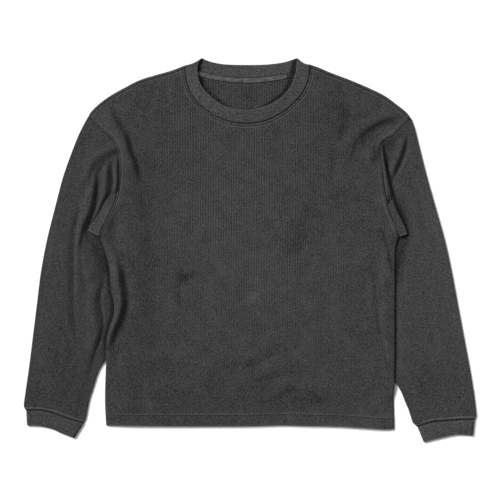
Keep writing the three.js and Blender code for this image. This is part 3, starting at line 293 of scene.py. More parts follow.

# Painted shade, in the same columns, with darkness as the height: in the creases, along the body's edges and
# beside the gussets on the body and the sleeves, and painted shadow inside the neck where the front of the band
# stands up
PAINTED_CREASE_SHADE = [
    (0.22, 9, 6, [(-266, 272), (-238, 231), (-225, 207), (-219, 184), (-209, 158), (-199, 122)]),
    (0.3, 3.5, 3.5, [(-230, 182), (-250, 175), (-262, 167), (-272, 154), (-280, 140)]),
    (0.4, 3.5, 3.5, [(-256, 176), (-254.5, 145), (-253, 124), (-257, 102), (-266, 84)]),
    (0.3, 4, 3.5, [(-277, 160), (-279, 125), (-281, 102), (-284, 80), (-293, 56), (-306, 30)]),
    (0.3, 4, 5, [(-312, 90), (-320, 46), (-325, 0), (-326, -74), (-325, -125), (-317, -185)]),
    (0.3, 6, 6, [
        (-233, -16), (-233, -55), (-228, -78), (-230, -106), (-237, -129), (-247, -152), (-254, -200),
    ]),
    (0.5, 3.2, 3.2, SLEEVE_TUCK),
    (0.3, 12, 18, [(-288, 60), (-280, 20), (-272, -20), (-264, -50)]),
    (0.85, 4, 6, [
        (-280, 40), (-268, -2), (-261.5, -25), (-259, -50), (-257, -72), (-252, -97), (-252, -117),
        (-259, -141), (-265, -165), (-266, -201), (-272, -232),
    ]),
    (0.25, 10, 8, [(288, 242), (257, 234), (238, 228), (221, 215), (211, 200), (204, 172)]),
    (0.35, 3, 3, [(291, 228), (285, 188), (275, 158), (262, 130), (256, 112)]),
    (0.5, 5, 4, [
        (240, 210), (248.5, 172), (252, 150), (257, 128), (262, 106), (268, 88), (280, 60), (294, 30),
    ]),
    (0.45, 18, 6, [(262, 112), (274, 74), (284, 44), (280, 12), (270, -30), (268, -70)]),
    (0.3, 3, 3, [(244, 190), (249, 156), (253, 122), (255, 100), (259, 80)]),
    (0.4, 6, 4, [(268, 60), (270, 0), (268, -80), (267.5, -160), (267, -260)]),
    (0.45, 3.5, 3.5, [(238, 46), (247, 24), (253, 0), (257, -24), (262, -50)]),
    (0.22, 4, 4, [(224, -30), (227, -64), (232, -109), (243, -177), (258, -240)]),
    (0.2, 6, 7, [(-20, -216), (6, -210), (36, -196), (74, -180), (100, -176)]),
    (0.12, 6, 7, [(4, -242), (30, -236), (60, -230), (110, -224)]),
    (0.22, 6, 9, [(40, -276), (62, -262), (86, -256), (106, -258), (122, -268), (136, -290)]),
]
PAINTED_NECK_SHADOW = [
    (1.0, 7, 4, [
        (-80, 384), (-92, 342), (-93, 326), (-88, 306), (-78, 290), (-66, 278), (-48, 265), (-30, 258),
    ]),
    (1.5, 4, 4.5, [(84, 384), (82, 340), (79, 326), (72, 306), (60, 288), (46, 276), (30, 265), (14, 258)]),
    (1.2, 4, 8, [(85, 370), (84, 352), (81, 336), (78, 320)]),
]

# Stains and faded patches of the body and the sleeves, some of them painted shade in fold troughs and by the
# folds at the
# shoulders and armholes: centre, half width, half height, turn in degrees, and how pale (a stain or painted shade
# is below 0)
DYE_AND_SHADE_PATCHES = [
    (-127, -47, 8, 13, 0, -0.28), (-110, -47, 15, 5, 16, -0.26), (-120, -55, 8, 8, 0, -0.26),
    (-129, -86, 3, 26, 0, -0.14), (-188, 0, 13, 150, 2, -0.14),
    (8, -86, 9, 9, 20, 0.38), (-57, -26, 7, 9, 20, 0.2), (-50, -44, 5, 6, 0, 0.2),
    (0, 40, 110, 170, 0, 0.07), (-196, -10, 26, 180, 2, -0.07), (0, -280, 300, 60, 0, -0.11),
    (88, 16, 20, 16, 30, -0.16), (80, -4, 26, 10, 0, -0.13), (74, 44, 7, 22, -20, -0.13),
    (96, 58, 7, 34, -16, -0.14), (106, 2, 12, 6, 0, 0.1), (80, 62, 5, 14, 10, 0.09),
    (176, 244, 10, 22, 10, -0.2), (168, 216, 7, 12, 0, -0.12), (151, 160, 6, 24, 0, -0.18),
    (-184, -288, 5, 9, 0, 0.2), (203, -6, 12, 20, 0, 0.08), (170, 120, 40, 80, 0, -0.05),
    (196, -160, 30, 90, 0, -0.05), (-60, 110, 60, 80, 0, 0.04), (0, 284, 14, 26, 0, -0.14),
    (-148, 166, 40, 70, 0, -0.06), (152, -318, 30, 8, 0, 0.12), (-90, 285, 14, 26, 30, -0.1),
    (225, -300, 46, 32, 0, 0.17), (60, -314, 60, 16, 0, 0.09), (165, 235, 56, 60, 0, -0.1),
    (110, 62, 22, 60, 0, -0.08),
    (-176, 290, 34, 30, 0, -0.1), (-222, 164, 24, 30, 0, -0.09), (-190, 126, 20, 30, 0, -0.07),
    (-222, -180, 30, 130, 0, -0.1), (-148, -200, 46, 90, 0, -0.04), (18, -76, 14, 20, 0, 0.1),
    (-40, -22, 16, 20, 0, 0.06), (150, 284, 16, 26, 0, -0.08), (254, -110, 8, 120, 0, -0.1),
    (342, 40, 24, 84, 8, 0.12), (374, -110, 22, 90, 8, 0.08), (330, -250, 36, 40, 0, -0.1),
    (-340, -215, 22, 70, 0, -0.11), (-396, -265, 20, 25, 0, -0.09), (-364, 20, 20, 60, 0, 0.07),
    (162, 263, 14, 6, 0, -0.12), (256, 180, 12, 26, 0, -0.24), (226, 188, 13, 17, 0, -0.22),
    (252, 60, 12, 50, 0, -0.12), (-246, 80, 12, 60, 0, 0.11), (263, 45, 2.5, 20, 28, 0.4),
]

# Steps between the points of a grid. Plans are relaxed at three coarser levels first, so they divide by 8
PANEL_ROWS, PANEL_COLUMNS = 216, 184
BACK_ROWS, BACK_COLUMNS = 112, 96
SLEEVE_ROWS, SLEEVE_COLUMNS = 232, 48
CUFF_STEPS, CUFF_COLUMNS = 11, 40
BAND_STEPS, BAND_COLUMNS = 12, 176
GUSSET_STEPS, TAPE_STEPS = 32, 90
LEVEL_ROUNDS = {8: 500, 4: 160, 2: 80, 1: 40}  # rounds of relaxing at each level of coarseness
TURN_ANGLES = np.radians([90, 68, 45, 22, 0, -22, -45, -68, -90])  # round the edge of a flattened tube
TURN_REACH = 3.4  # how far in from the edge the front's cloth starts to turn down round the back
EDGE_ANGLES = np.radians([0, 18, 36, 54, 72, 90])  # how far it has turned at each point from the edge inwards
HEM_STEPS = (0.12, 0.35, 0.75, 1.6)  # distances from the hem of the rows added where it is round

OUTWARD = {"left": -1, "right": 1}
SIDE_NAMES = ("left", "right")


def smooth(start, end, x):
    t = np.clip((x - start) / (end - start), 0, 1)
    return t * t * (3 - 2 * t)


def unit(v):
    return v / np.maximum(np.linalg.norm(v, axis=-1, keepdims=True), 1e-9)


def mix(a, b, t):
    return a + (b - a) * t


def curve_through(points, per_span=16):
    """Close points on a smooth curve through a table's rows."""
    p = np.asarray(points, float)
    padded = np.vstack([p[:1], p, p[-1:]])
    before, start, end, after = (padded[k:k + len(p) - 1, None] for k in range(4))
    t = np.linspace(0, 1, per_span, endpoint=False)[None, :, None]
    leave, arrive = (end - before) / 2, (after - start) / 2
    cubic = (2 * start - 2 * end + leave + arrive) * t**3
    square = (3 * end - 3 * start - 2 * leave - arrive) * t**2
    dense = cubic + square + leave * t + start
    return np.vstack([dense.reshape(-1, p.shape[1]), p[-1:]])


def curves(table):
    return {side: curve_through(points) for side, points in table.items()}


def lengths_along(path):
    return np.r_[0, np.cumsum(np.linalg.norm(np.diff(path, axis=0), axis=1))]


def at_shares(path, shares):
    """Points of a path at shares of its length."""
    lengths = lengths_along(path)
    wanted = np.asarray(shares) * lengths[-1]
    return np.column_stack([np.interp(wanted, lengths, path[:, k]) for k in range(path.shape[1])])


def evenly(path, steps):
    return at_shares(path, np.linspace(0, 1, steps + 1))


def left_normal(path, axis=0):
    """Directions to the left of a path, walking along it."""
    tangent = unit(np.gradient(path, axis=axis))
    return np.stack([-tangent[..., 1], tangent[..., 0]], axis=-1)


def offset_path(path, distance):
    """A path moved to its left by a distance."""
    return path + distance * left_normal(path)


def nearest(path, xy):
    """Distance from points to a path, the share along it, and which side of it they are on."""
    distance = np.full(xy.shape[:-1], np.inf)
    share, side = np.zeros_like(distance), np.zeros_like(distance)
    steps = len(path) - 1
    for k in range(steps):
        along = path[k + 1] - path[k]
        off = xy - path[k]
        t = np.clip(off @ along / (along @ along), 0, 1)
        here = np.linalg.norm(off - t[..., None] * along, axis=-1)
        closer = here < distance
        distance = np.where(closer, here, distance)
        share = np.where(closer, (k + t) / steps, share)
        side = np.where(closer, np.sign(along[0] * off[..., 1] - along[1] * off[..., 0]), side)
    return distance, share, side


def distance_to(xy, *paths):
    """Distance from points to the nearest of some paths."""
    return np.min([nearest(path, xy)[0] for path in paths], axis=0)


def fold_sum(folds, xy):
    """Sum of a table of folds at points of the plan. A fold fades out over a fifth of its path at both ends."""
    total = np.zeros(xy.shape[:-1])
    for height, reach_left, reach_right, points in folds:
        path = curve_through(points, 6)
        reach = max(reach_left, reach_right)
        near = np.all((xy > path.min(axis=0) - reach) & (xy < path.max(axis=0) + reach), axis=-1)
        distance, share, side = nearest(path, xy[near])
        reaches = np.where(side > 0, reach_left, reach_right)
        fade = smooth(0, 0.2, share) * smooth(1, 0.8, share)
        total[near] += height * fade * (0.5 + 0.5 * np.cos(np.pi * np.minimum(distance / reaches, 1)))
    return total


def side_path(column, corner):
    """A side edge of the body, from its corner at the hem to the underarm."""
    return curve_through([corner, *((row[column], row[0]) for row in SIDES)])


side_edge = {"left": side_path(1, HEM[0]), "right": side_path(2, HEM[-1])}
armhole, shoulder = curves(ARMHOLES), curves(SHOULDERS)
sleeve_outer, sleeve_inner = curves(SLEEVE_OUTER), curves(SLEEVE_INNER)
cuff_seam, cuff_end, gusset_fold = curves(CUFF_SEAM), curves(CUFF_END), curves(GUSSET_FOLD)
neck_front, neck_back, hem_edge = curve_through(NECK_FRONT), curve_through(NECK_BACK), curve_through(HEM)
outer_paths = [evenly(path[side], 24) for path in (sleeve_outer, shoulder) for side in SIDE_NAMES]


def puff(xy):
    """How far the upper layer stands above the lower one, beyond two flat layers."""
    outer = distance_to(xy, *outer_paths)
    total = LOFT * smooth(0, LOFT_REACH, outer) + fold_sum(FOLDS, xy)
    return np.maximum(LEAST_PUFF, total * smooth(0, FOLDS_REACH, outer))


def body_puff(xy):
    """The same on the body, whose sides lie flat on the sleeves."""
    side = distance_to(xy, *(evenly(edge, 20) for edge in side_edge.values()))
    return np.maximum(LEAST_PUFF, puff(xy) - LOFT * (1 - smooth(0, LOFT_REACH, side)))


def lift(xy):
    """How far the body is lifted where a sleeve lies under its side."""
    most = np.zeros(xy.shape[:-1])
    for side in SIDE_NAMES:
        inner = sleeve_inner[side][::-1]
        top, bottom = SLEEVE_INNER[side][0][1], COMES_OUT[side]
        level = np.clip(xy[..., 1], bottom, top)
        inside = (np.interp(level, inner[:, 1], inner[:, 0]) - xy[..., 0]) * OUTWARD[side]
        ends = smooth(*(top + LIFT_ABOVE), xy[..., 1]) * smooth(*(bottom + LIFT_BELOW), xy[..., 1])
        most = np.maximum(most, LIE * smooth(*LIFT_BESIDE, inside) * ends)
    return most


def body_top(xy):
    """Height of the front panel's face, away from its edges."""
    above, below = HEM_SLOPE
    hem = HEM_RISE * smooth(HEM_DEPTH + above, HEM_DEPTH - below, distance_to(xy, hem_edge))
    return lift(xy) + TWO_LAYERS + body_puff(xy) + hem


def relaxed(plan, rounds):
    """Spreads the inside of a plan so that its rows and columns never cross. Its rim stays as it is."""
    for _ in range(rounds):
        left, right, down, up = plan[1:-1, :-2], plan[1:-1, 2:], plan[:-2, 1:-1], plan[2:, 1:-1]
        across, upward = right - left, up - down
        pull_across = np.sum(upward**2, axis=-1, keepdims=True)
        pull_up = np.sum(across**2, axis=-1, keepdims=True)
        skew = np.sum(across * upward, axis=-1, keepdims=True) / 2
        twist = plan[2:, 2:] - plan[2:, :-2] - plan[:-2, 2:] + plan[:-2, :-2]
        settled = pull_across * (left + right) + pull_up * (down + up) - skew * twist
        plan[1:-1, 1:-1] = settled / (2 * (pull_across + pull_up))
    return plan


def transposed(plan):
    return plan.transpose(1, 0, 2)


def twice_as_fine(plan):
    fine = np.empty((2 * len(plan) - 1, *plan.shape[1:]))
    fine[::2] = plan
    fine[1::2] = (plan[:-1] + plan[1:]) / 2
    return fine


def patch(bottom, top, left, right):
    """Plan of a piece between four edges: a grid of points whose rows run from bottom to top."""
    plan = None
    for level, rounds in LEVEL_ROUNDS.items():
        edges = [edge[::level] for edge in (bottom, top, left, right)]
        v = np.linspace(0, 1, len(edges[2]))[:, None, None]
        u = np.linspace(0, 1, len(edges[0]))[None, :, None]
        if plan is None:
            corners = mix(mix(edges[0][0], edges[0][-1], u), mix(edges[1][0], edges[1][-1], u), v)
            rows = mix(edges[0][None], edges[1][None], v)
            plan = rows + mix(edges[2][:, None], edges[3][:, None], u) - corners
        else:
            plan = transposed(twice_as_fine(transposed(twice_as_fine(plan))))
        plan[0], plan[-1], plan[:, 0], plan[:, -1] = edges
        relaxed(plan, rounds)
    return plan


def with_rows_beside(plan, distances):
    """Replaces a plan's second row by rows at set distances inwards from its first row, or closer where there is
    little room up to the third."""
    ahead = plan[2] - plan[0]
    inward = left_normal(plan[0])
    inward *= np.sign(np.sum(inward * ahead, axis=-1, keepdims=True))
    inward[0], inward[-1] = unit(ahead[0]), unit(ahead[-1])
    room = 0.8 * np.sum(ahead * inward, axis=-1, keepdims=True) / distances[-1]
    added = [plan[0] + inward * distance * np.minimum(1, room) for distance in distances]
    return np.concatenate([plan[:1], added, plan[2:]])


def panel_plan(rows, columns, neck_path, inset, hem_drop):
    """Plan of a body panel between its hem, its sides with the armholes, and its shoulders with the neckline."""
    up, across = np.linspace(0, 1, rows + 1), np.linspace(0, 1, columns + 1)
    below = up <= UNDERARM_SHARE
    first, last = NECK_SHARES
    from_shoulder = {"left": across / first, "right": (1 - across) / (1 - last)}
    edges, tops = {}, []
    for side in SIDE_NAMES:
        out = inset * OUTWARD[side]
        low_path, top_path = offset_path(side_edge[side], out), offset_path(shoulder[side], out)
        low = at_shares(low_path, up[below] / UNDERARM_SHARE)
        high = at_shares(armhole[side], (up[~below] - UNDERARM_SHARE) / (1 - UNDERARM_SHARE))
        edges[side] = np.vstack([low, high])
        edges[side][-1] = armhole[side][-1] - [0, inset * CORNER_DROP]
        tops.append(at_shares(top_path, np.clip(from_shoulder[side], 0, 1)))
    neck = at_shares(neck_path, np.clip((across - first) / (last - first), 0, 1))
    on_neck = ((across > first) & (across < last))[:, None]
    top = np.where(on_neck, neck, np.where((across <= first)[:, None], *tops))
    hem = at_shares(hem_edge, across)
    hem[:, 1] -= hem_drop * np.sin(np.pi * across)
    for side, k in (("left", 0), ("right", -1)):
        hem[k], top[k] = edges[side][0], edges[side][-1]
    return patch(hem, top, edges["left"], edges["right"])


def make_mesh(name, points, faces, attributes):
    """A smooth mesh in metres from points in millimetres, with its faces outwards."""
    a, b, c, d = (points[faces[:, k]] for k in (0, 1, 2, -1))
    volume = np.sum(a * np.cross(b, c)) + np.sum(a * np.cross(c, d))
    if volume < 0:
        faces = faces[:, ::-1]
    mesh = bpy.data.meshes.new(name)
    mesh.from_pydata((points * MM).tolist(), [], faces.tolist())
    for key, values in attributes.items():
        is_vector = values.ndim > 1
        layer = mesh.attributes.new(key, "FLOAT_VECTOR" if is_vector else "FLOAT", "POINT")
        layer.data.foreach_set("vector" if is_vector else "value", np.ravel(values).astype(np.float32))
    mesh.polygons.foreach_set("use_smooth", np.ones(len(faces), bool))
    mesh.update()
    return add_object(name, mesh)


def add_object(name, data):
    new = bpy.data.objects.new(name, data)
    bpy.context.scene.collection.objects.link(new)
    return new


def cloth_wall(name, outer, inner, attributes, is_tube=False):
    """A wall of cloth between a grid of points on its outer face and one on its inner face, with a closed rim."""
    rows, columns = outer.shape[:2]
    count = rows * columns
    index = np.arange(count).reshape(rows, columns)
    if is_tube:
        index = np.hstack([index, index[:, :1]])
    a, b, c, d = index[:-1, :-1], index[:-1, 1:], index[1:, 1:], index[1:, :-1]
    quads = [(a, b, c, d), (a + count, d + count, c + count, b + count)]
    quads.append((a[0], a[0] + count, b[0] + count, b[0]))
    quads.append((d[-1], c[-1], c[-1] + count, d[-1] + count))
    if not is_tube:
        quads.append((a[:, 0], d[:, 0], d[:, 0] + count, a[:, 0] + count))
        quads.append((b[:, -1], b[:, -1] + count, c[:, -1] + count, c[:, -1]))
    faces = np.vstack([np.stack([corner.ravel() for corner in quad], axis=-1) for quad in quads])
    points = np.vstack([outer.reshape(-1, 3), inner.reshape(-1, 3)])
    doubled = {
        key: np.concatenate([values.reshape(count, -1)] * 2).squeeze() for key, values in attributes.items()
    }
    return make_mesh(name, points, faces, doubled)


def with_height(xy, z):
    return np.concatenate([xy, np.broadcast_to(z, xy.shape[:-1])[..., None]], axis=-1)


def cloth_place(across, along):
    """Places in the cloth, from how far they lie across its ribs and along them."""
    return np.stack(np.broadcast_arrays(across, along, 0.0), axis=-1)


def seam_distances(xy):
    """Distances from a body panel's points to its seams."""
    return {
        "from_armhole": distance_to(xy, *armhole.values()),
        "from_shoulder": distance_to(xy, *shoulder.values()),
        "from_neck": distance_to(xy, neck_front),
        "from_hem": distance_to(xy, hem_edge),
    }


def stains_and_painted_shade(xy):
    """How much paler than the cloth round it a point is, or darker where it is below 0: stains and faded patches,
    partly painted shade, less the painted crease shade.
    """
    total = np.zeros(xy.shape[:-1])
    for x, y, across, up, turn, paleness in DYE_AND_SHADE_PATCHES:
        off = xy - [x, y]
        angle = math.radians(turn)
        along = off @ [math.cos(angle), math.sin(angle)] / across
        beside = off @ [-math.sin(angle), math.cos(angle)] / up
        total += paleness * np.exp(-(along**2 + beside**2))
    return total - np.minimum(DARKEST_PAINTED_SHADE, fold_sum(PAINTED_CREASE_SHADE, xy))


def groove(distance, seam):
    depth, width = GROOVES[seam]
    return depth * np.clip(1 - distance / width, 0, 1) ** 2


def rounded(distance, radius):
    """How far each face is pinched in near a folded edge, so that the edge is round."""
    t = np.clip(1 - distance / radius, 0, 1)
    return radius * (1 - np.sqrt(1 - t * t))


def make_front():
    """The front panel: its sides and shoulders turn down round the back, its armholes and neck meet seams."""
    beside = list(TURN_REACH * (1 - np.cos(EDGE_ANGLES[1:])))
    plan = panel_plan(PANEL_ROWS, PANEL_COLUMNS, neck_front, 0, 0)
    plan = with_rows_beside(plan, HEM_STEPS)
    plan = transposed(with_rows_beside(transposed(plan), beside))
    plan = transposed(with_rows_beside(transposed(plan)[::-1], beside)[::-1])
    plan = with_rows_beside(plan[::-1], beside)[::-1]
    rows, columns = plan.shape[:2]
    steps = len(EDGE_ANGLES)
    from_side = np.minimum(np.arange(columns), np.arange(columns)[::-1])[None, :]
    from_top = np.arange(rows)[::-1][:, None]
    is_left = (np.arange(columns) < columns / 2)[None, :, None]
    # Shares of the turn: a side turns down up to the underarm, a shoulder up to the neck
    underarm = min(SIDES[-1][0], plan[:, 0, 1].max())
    side_share = smooth(underarm + 4, underarm - 4, plan[:, :1, 1])
    neck_left, neck_right = NECK_FRONT[0][0], NECK_FRONT[-1][0]
    top_x = plan[-1:, :, 0]
    top_share = 1 - smooth(neck_left - 3, neck_left + 1, top_x) * smooth(neck_right + 3, neck_right - 1, top_x)
    seams = seam_distances(plan)
    top = body_top(plan) - groove(seams["from_armhole"], "armhole") - groove(seams["from_neck"], "neck")
    drop = top - lift(plan) - SEAM
    side_inward = np.where(is_left, [1.0, 0.0], [-1.0, 0.0]) * np.ones_like(plan)
    top_inward = -left_normal(plan, axis=1)
    side_angle = EDGE_ANGLES[np.minimum(from_side, steps - 1)]
    pinch = rounded(seams["from_hem"], KNIT / 2) * np.sin(side_angle)
    faces = []
    for face in (0, 1):
        xy = plan.copy()
        z = top - face * KNIT - (1 - 2 * face) * pinch
        for step, share, inward in ((from_side, side_share, side_inward), (from_top, top_share, top_inward)):
            angle = np.where(step < steps, EDGE_ANGLES[np.minimum(step, steps - 1)], math.pi / 2)
            xy += face * KNIT * (np.cos(angle) * share)[..., None] * inward
            z = z - (drop - face * KNIT) * (1 - np.sin(angle)) * share
        faces.append(with_height(xy, z))
    attributes = {"cloth": with_height(plan, 0), "stain_and_shade": stains_and_painted_shade(plan), **seams}
    return cloth_wall("front_shell", *faces, attributes)


def make_back():
    """The back panel lies flat, apart from the strips that the sleeves lift and a few shallow troughs."""
    plan = panel_plan(BACK_ROWS, BACK_COLUMNS, neck_back, KNIT + SEAM, BACK_HEM_SHOWS)
    plan = with_rows_beside(plan, HEM_STEPS)
    room = np.maximum(0, body_puff(plan) - 0.4)
    base = lift(plan) + np.minimum(np.maximum(0, fold_sum(BACK_FOLDS, plan)), room)
    from_hem = distance_to(plan, curve_through([(x, y - BACK_HEM_SHOWS) for x, y in HEM]))
    pinch = rounded(from_hem * (np.abs(plan[..., 0]) < BACK_CORNER), KNIT / 2)
    pinch[len(HEM_STEPS) + 1:] = 0
    faces = [with_height(plan, base + KNIT - pinch), with_height(plan, base + pinch)]
    seams = {key: values + FAR for key, values in seam_distances(plan).items()}
    # the inside of the back also gets the painted shadow of the band's raised front
    stain_and_shade = stains_and_painted_shade(plan) - fold_sum(PAINTED_NECK_SHADOW, plan)
    attributes = {**seams, "cloth": with_height(plan, 0), "stain_and_shade": stain_and_shade, "from_hem": from_hem}
    return cloth_wall("back_shell", *faces, attributes)


def flat_ring(upper, lower, tops, edge_height, wall, pinch=0, end_inward=None):
    """One ring of a flattened tube, as points of its outer and inner face. The upper and lower rows share their
    first and last points, where the cloth turns round in a half circle."""
    radius = edge_height / 2
    share = (1 + np.sin(TURN_ANGLES))[:, None] / 2
    faces = []
    for inset in (pinch, wall - pinch):
        bend = radius - inset
        turns = []
        for k, beside, inward in ((0, 1, None), (-1, -2, end_inward)):
            at = upper[k]
            if inward is None:
                inward = unit(mix(unit(lower[beside] - at), unit(upper[beside] - at), share))
            xy = at + inward * (radius - bend * np.cos(TURN_ANGLES))[:, None]
            turns.append(with_height(xy, radius + bend * np.sin(TURN_ANGLES)))
        over = with_height(upper[1:-1], tops[1:-1] - inset)
        under = with_height(lower[1:-1][::-1], inset)
        faces.append(np.vstack([turns[0][:1], over, turns[1], under, turns[0][:0:-1]]))
    return faces


def round_tube(over, under=None, ends=None):
    """Values in the order of the points of a tube's rings, from those of its upper rows, its lower rows and
    the turns between them. Where these aren't given, they follow the upper rows."""
    under = over[:, ::2] if under is None else under
    ends = over if ends is None else ends
    starts, stops = (np.repeat(ends[:, k, None], len(TURN_ANGLES), axis=1) for k in (0, -1))
    return np.hstack([starts[:, :1], over[:, 1:-1], stops, under[:, -2:0:-1], starts[:, 1:]])


def tube_wall(name, rings, attributes):
    outer, inner = (np.stack([ring[face] for ring in rings]) for face in (0, 1))
    return cloth_wall(name, outer, inner, attributes, is_tube=True)


def gusset_edges(side, steps):
    seam = at_shares(armhole[side], np.linspace(0, GUSSET_REACH[side], steps + 1))
    return seam, evenly(gusset_fold[side], steps)


def sleeve_top(side, xy):
    """Height of a sleeve's upper face: flat where the body or the gusset lies on it."""
    seam, fold = gusset_edges(side, 8)
    distance, share, _ = nearest((seam + fold) / 2, xy)
    half_width = np.interp(share, np.linspace(0, 1, 9), np.linalg.norm(fold - seam, axis=-1) / 2)
    clear_of_gusset = smooth(0.5, 8, distance - half_width)
    clear_of_inner = smooth(11, 26, distance_to(xy, evenly(sleeve_inner[side], 60)))
    return TWO_LAYERS + puff(xy) * clear_of_gusset * clear_of_inner


def make_sleeve(side):
    """A sleeve: one flattened tube from the armhole to the cuff, with its seam allowance standing at the cuff."""
    armhole_part = at_shares(armhole[side], np.linspace(1, SLEEVE_HEAD_START, 60))
    head = evenly(np.vstack([armhole_part, SLEEVE_UNDERARM[side]]), SLEEVE_COLUMNS)
    cuff = evenly(cuff_seam[side], SLEEVE_COLUMNS)
    outer, inner = evenly(sleeve_outer[side], SLEEVE_ROWS), evenly(sleeve_inner[side], SLEEVE_ROWS)
    plan = patch(head, cuff, outer, inner)
    plan[0] += np.array([OUTWARD[side] * 0.94, 0.34]) * SEAM
    near_head = [mix(plan[0], plan[1], t) for t in (0.2, 0.5)]
    near_cuff = [mix(plan[-2], plan[-1], t) for t in (0.5, 0.8)]
    plan = np.concatenate([plan[:1], near_head, plan[1:-1], near_cuff, plan[-1:]])
    from_cuff, from_armhole = distance_to(plan, cuff), distance_to(plan, armhole[side])
    tops = sleeve_top(side, plan) - groove(from_armhole, "armhole") - groove(from_cuff, "sleeve end")
    height, place, half_width = ALLOWANCE
    tops += height * np.exp(-(((from_cuff - place) / half_width) ** 2))
    off_edge = left_normal(plan[:, -1])
    off_edge *= np.sign(off_edge[:, :1] * OUTWARD[side])
    inward = unit(unit(plan[:, -2] - plan[:, -1]) + off_edge)
    rings = [
        flat_ring(row, row[::2], top, TWO_LAYERS, KNIT, end_inward=turn)
        for row, top, turn in zip(plan, tops, inward)
    ]
    widths = np.linalg.norm(np.diff(plan, axis=1), axis=-1)
    across = np.hstack([np.zeros((len(plan), 1)), np.cumsum(widths, axis=1)])
    down = lengths_along(plan[:, SLEEVE_COLUMNS // 2])[:, None]
    stain_and_shade = stains_and_painted_shade(plan)
    return tube_wall(f"sleeve_shell_{side}", rings, {
        "cloth": cloth_place(round_tube(across), down), "from_cuff": round_tube(from_cuff),
        "from_armhole": round_tube(from_armhole), "stain_and_shade": round_tube(stain_and_shade, 0 * stain_and_shade[:, ::2]),
    })


def rim_shares(length, radius, steps):
    """Shares of the way to a round folded edge, close together where it turns."""
    close = 1 - radius * np.array([1, 0.5, 0.2, 0.06, 0]) / length
    return np.r_[np.linspace(0, close[0], steps), close[1:]]


def make_cuff(side):
    """A cuff: a doubled band of rib whose free edge is a fold."""
    seam, end = evenly(cuff_seam[side], CUFF_COLUMNS), evenly(cuff_end[side], CUFF_COLUMNS)
    depth = np.linalg.norm(end - seam, axis=-1).mean()
    start = seam + unit(end - seam) * SEAM
    shares = rim_shares(depth, CUFF_RIB / 2, CUFF_STEPS)
    rings = []
    for v in shares:
        row = mix(start, end, v)
        top = CUFF_HEIGHT + CUFF_SWELL * math.sin(math.pi * v) - groove(v * depth, "cuff")
        pinch = rounded((1 - v) * depth, CUFF_RIB / 2)
        rings.append(flat_ring(row, row[::2], np.full(len(row), top), CUFF_HEIGHT, CUFF_RIB, pinch))
    down = shares[:, None] * depth
    place = cloth_place(round_tube(lengths_along(seam) * np.ones_like(down)), down)
    return tube_wall(f"cuff_shell_{side}", rings, {
        "cloth": place, "from_seam": place[..., 1], "from_edge": depth - place[..., 1],
    })


def make_neckband():
    """The neckband: its front half lies over its back half and is folded at both sides."""
    front = evenly(neck_front, BAND_COLUMNS), evenly(curve_through(BAND_FRONT), BAND_COLUMNS)
    back = evenly(neck_back, BAND_COLUMNS // 2), evenly(curve_through(BAND_BACK), BAND_COLUMNS // 2)
    shares = rim_shares(BAND_DEPTH, RIB / 2, BAND_STEPS)
    hang = np.sqrt(np.maximum(0, np.sin(np.pi * np.linspace(0, 1, BAND_COLUMNS + 1))))
    rings, band_shadows = [], []
    for v in shares:
        halves = []
        for seam, free in (front, back):
            half = mix(seam + unit(free - seam) * BAND_GAP, free, v)
            steps = np.linspace(0, 1, len(half))
            for dip, near in zip(BAND_SIDE_DIP, (steps, 1 - steps)):
                half[:, 1] -= dip * 4 * v * (1 - v) * smooth(0.04, 0, near)
            halves.append(half)
        tops = BAND_HEIGHT + BAND_STANDS * v * hang - groove(v * BAND_DEPTH, "band")
        pinch = rounded((1 - v) * BAND_DEPTH, RIB / 2)
        rings.append(flat_ring(*halves, tops, BAND_HEIGHT, RIB, pinch))
        # painted shadow of the band's raised front, on its back half
        band_shadows.append(fold_sum(PAINTED_NECK_SHADOW, halves[1]))
    down, stain_and_shade = shares[:, None] * BAND_DEPTH, -np.array(band_shadows)
    over, under = (lengths_along(seam) * np.ones_like(down) for seam, _ in (front, back))
    place = cloth_place(round_tube(over, under, over), down)
    hidden = np.full_like(under, FAR)
    return tube_wall("neckband_shell", rings, {
        "cloth": place, "stain_and_shade": round_tube(0 * over, stain_and_shade, stain_and_shade),
        "from_seam": round_tube(down + 0 * over, hidden, hidden), "from_edge": BAND_DEPTH - place[..., 1],
    })


def gusset_height(side, seam, share):
    """Height of a gusset's face, at points along its seam and at a share of the way to its fold."""
    crest = TWO_LAYERS + SEAM + GUSSET_STANDS[side]
    return mix(np.maximum(body_top(seam), crest), crest, smooth(0, 0.9, share))


def make_gusset(side):
    """An underarm gusset, which lies on the sleeve and turns down along its fold."""
    seam, fold = gusset_edges(side, GUSSET_STEPS)
    out, width = unit(fold - seam)[:, None], np.linalg.norm(fold - seam, axis=-1)[:, None]
    stands = GUSSET_STANDS[side]
    # How the fold turns down: distance in from the fold, and depth below the top, on the outer and inner face
    outer_turn = evenly(curve_through([(2.8, 0), (1.3, 0.12), (0.35, 0.7), (0, 1.6), (0.1, stands)]), 8)
    inner_turn = outer_turn * [0.45, (stands - KNIT) / stands] + [KNIT, 0]
    shares = np.linspace(0, 0.72, 9)
    flat = SEAM + shares * (width - SEAM)
    height = gusset_height(side, seam[:, None], shares)
    crest = TWO_LAYERS + SEAM + stands
    dips = groove(shares * width, "gusset"), 0
    faces = []
    for face, (turn, dip) in enumerate(zip((outer_turn, inner_turn), dips)):
        away = np.hstack([flat, np.maximum(width - turn[:, 0], flat[:, -1:] + 0.2)])
        z = np.hstack([height - dip, crest - turn[:, 1] + 0 * width]) - face * KNIT
        faces.append(with_height(seam[:, None] + out * away[..., None], z))
    down = lengths_along(seam)[:, None]
    place = cloth_place(np.linalg.norm(faces[0][..., :2] - seam[:, None], axis=-1), down)
    from_edge = np.minimum(place[..., 1], down[-1] - place[..., 1])
    attributes = {"cloth": place, "from_seam": place[..., 0], "from_edge": from_edge}
    return cloth_wall(f"gusset_shell_{side}", *faces, attributes)


def tape_line(down):
    path = at_shares(neck_back, np.linspace(*TAPE_ENDS, TAPE_STEPS + 1))
    return path - [0, down + 0.4]


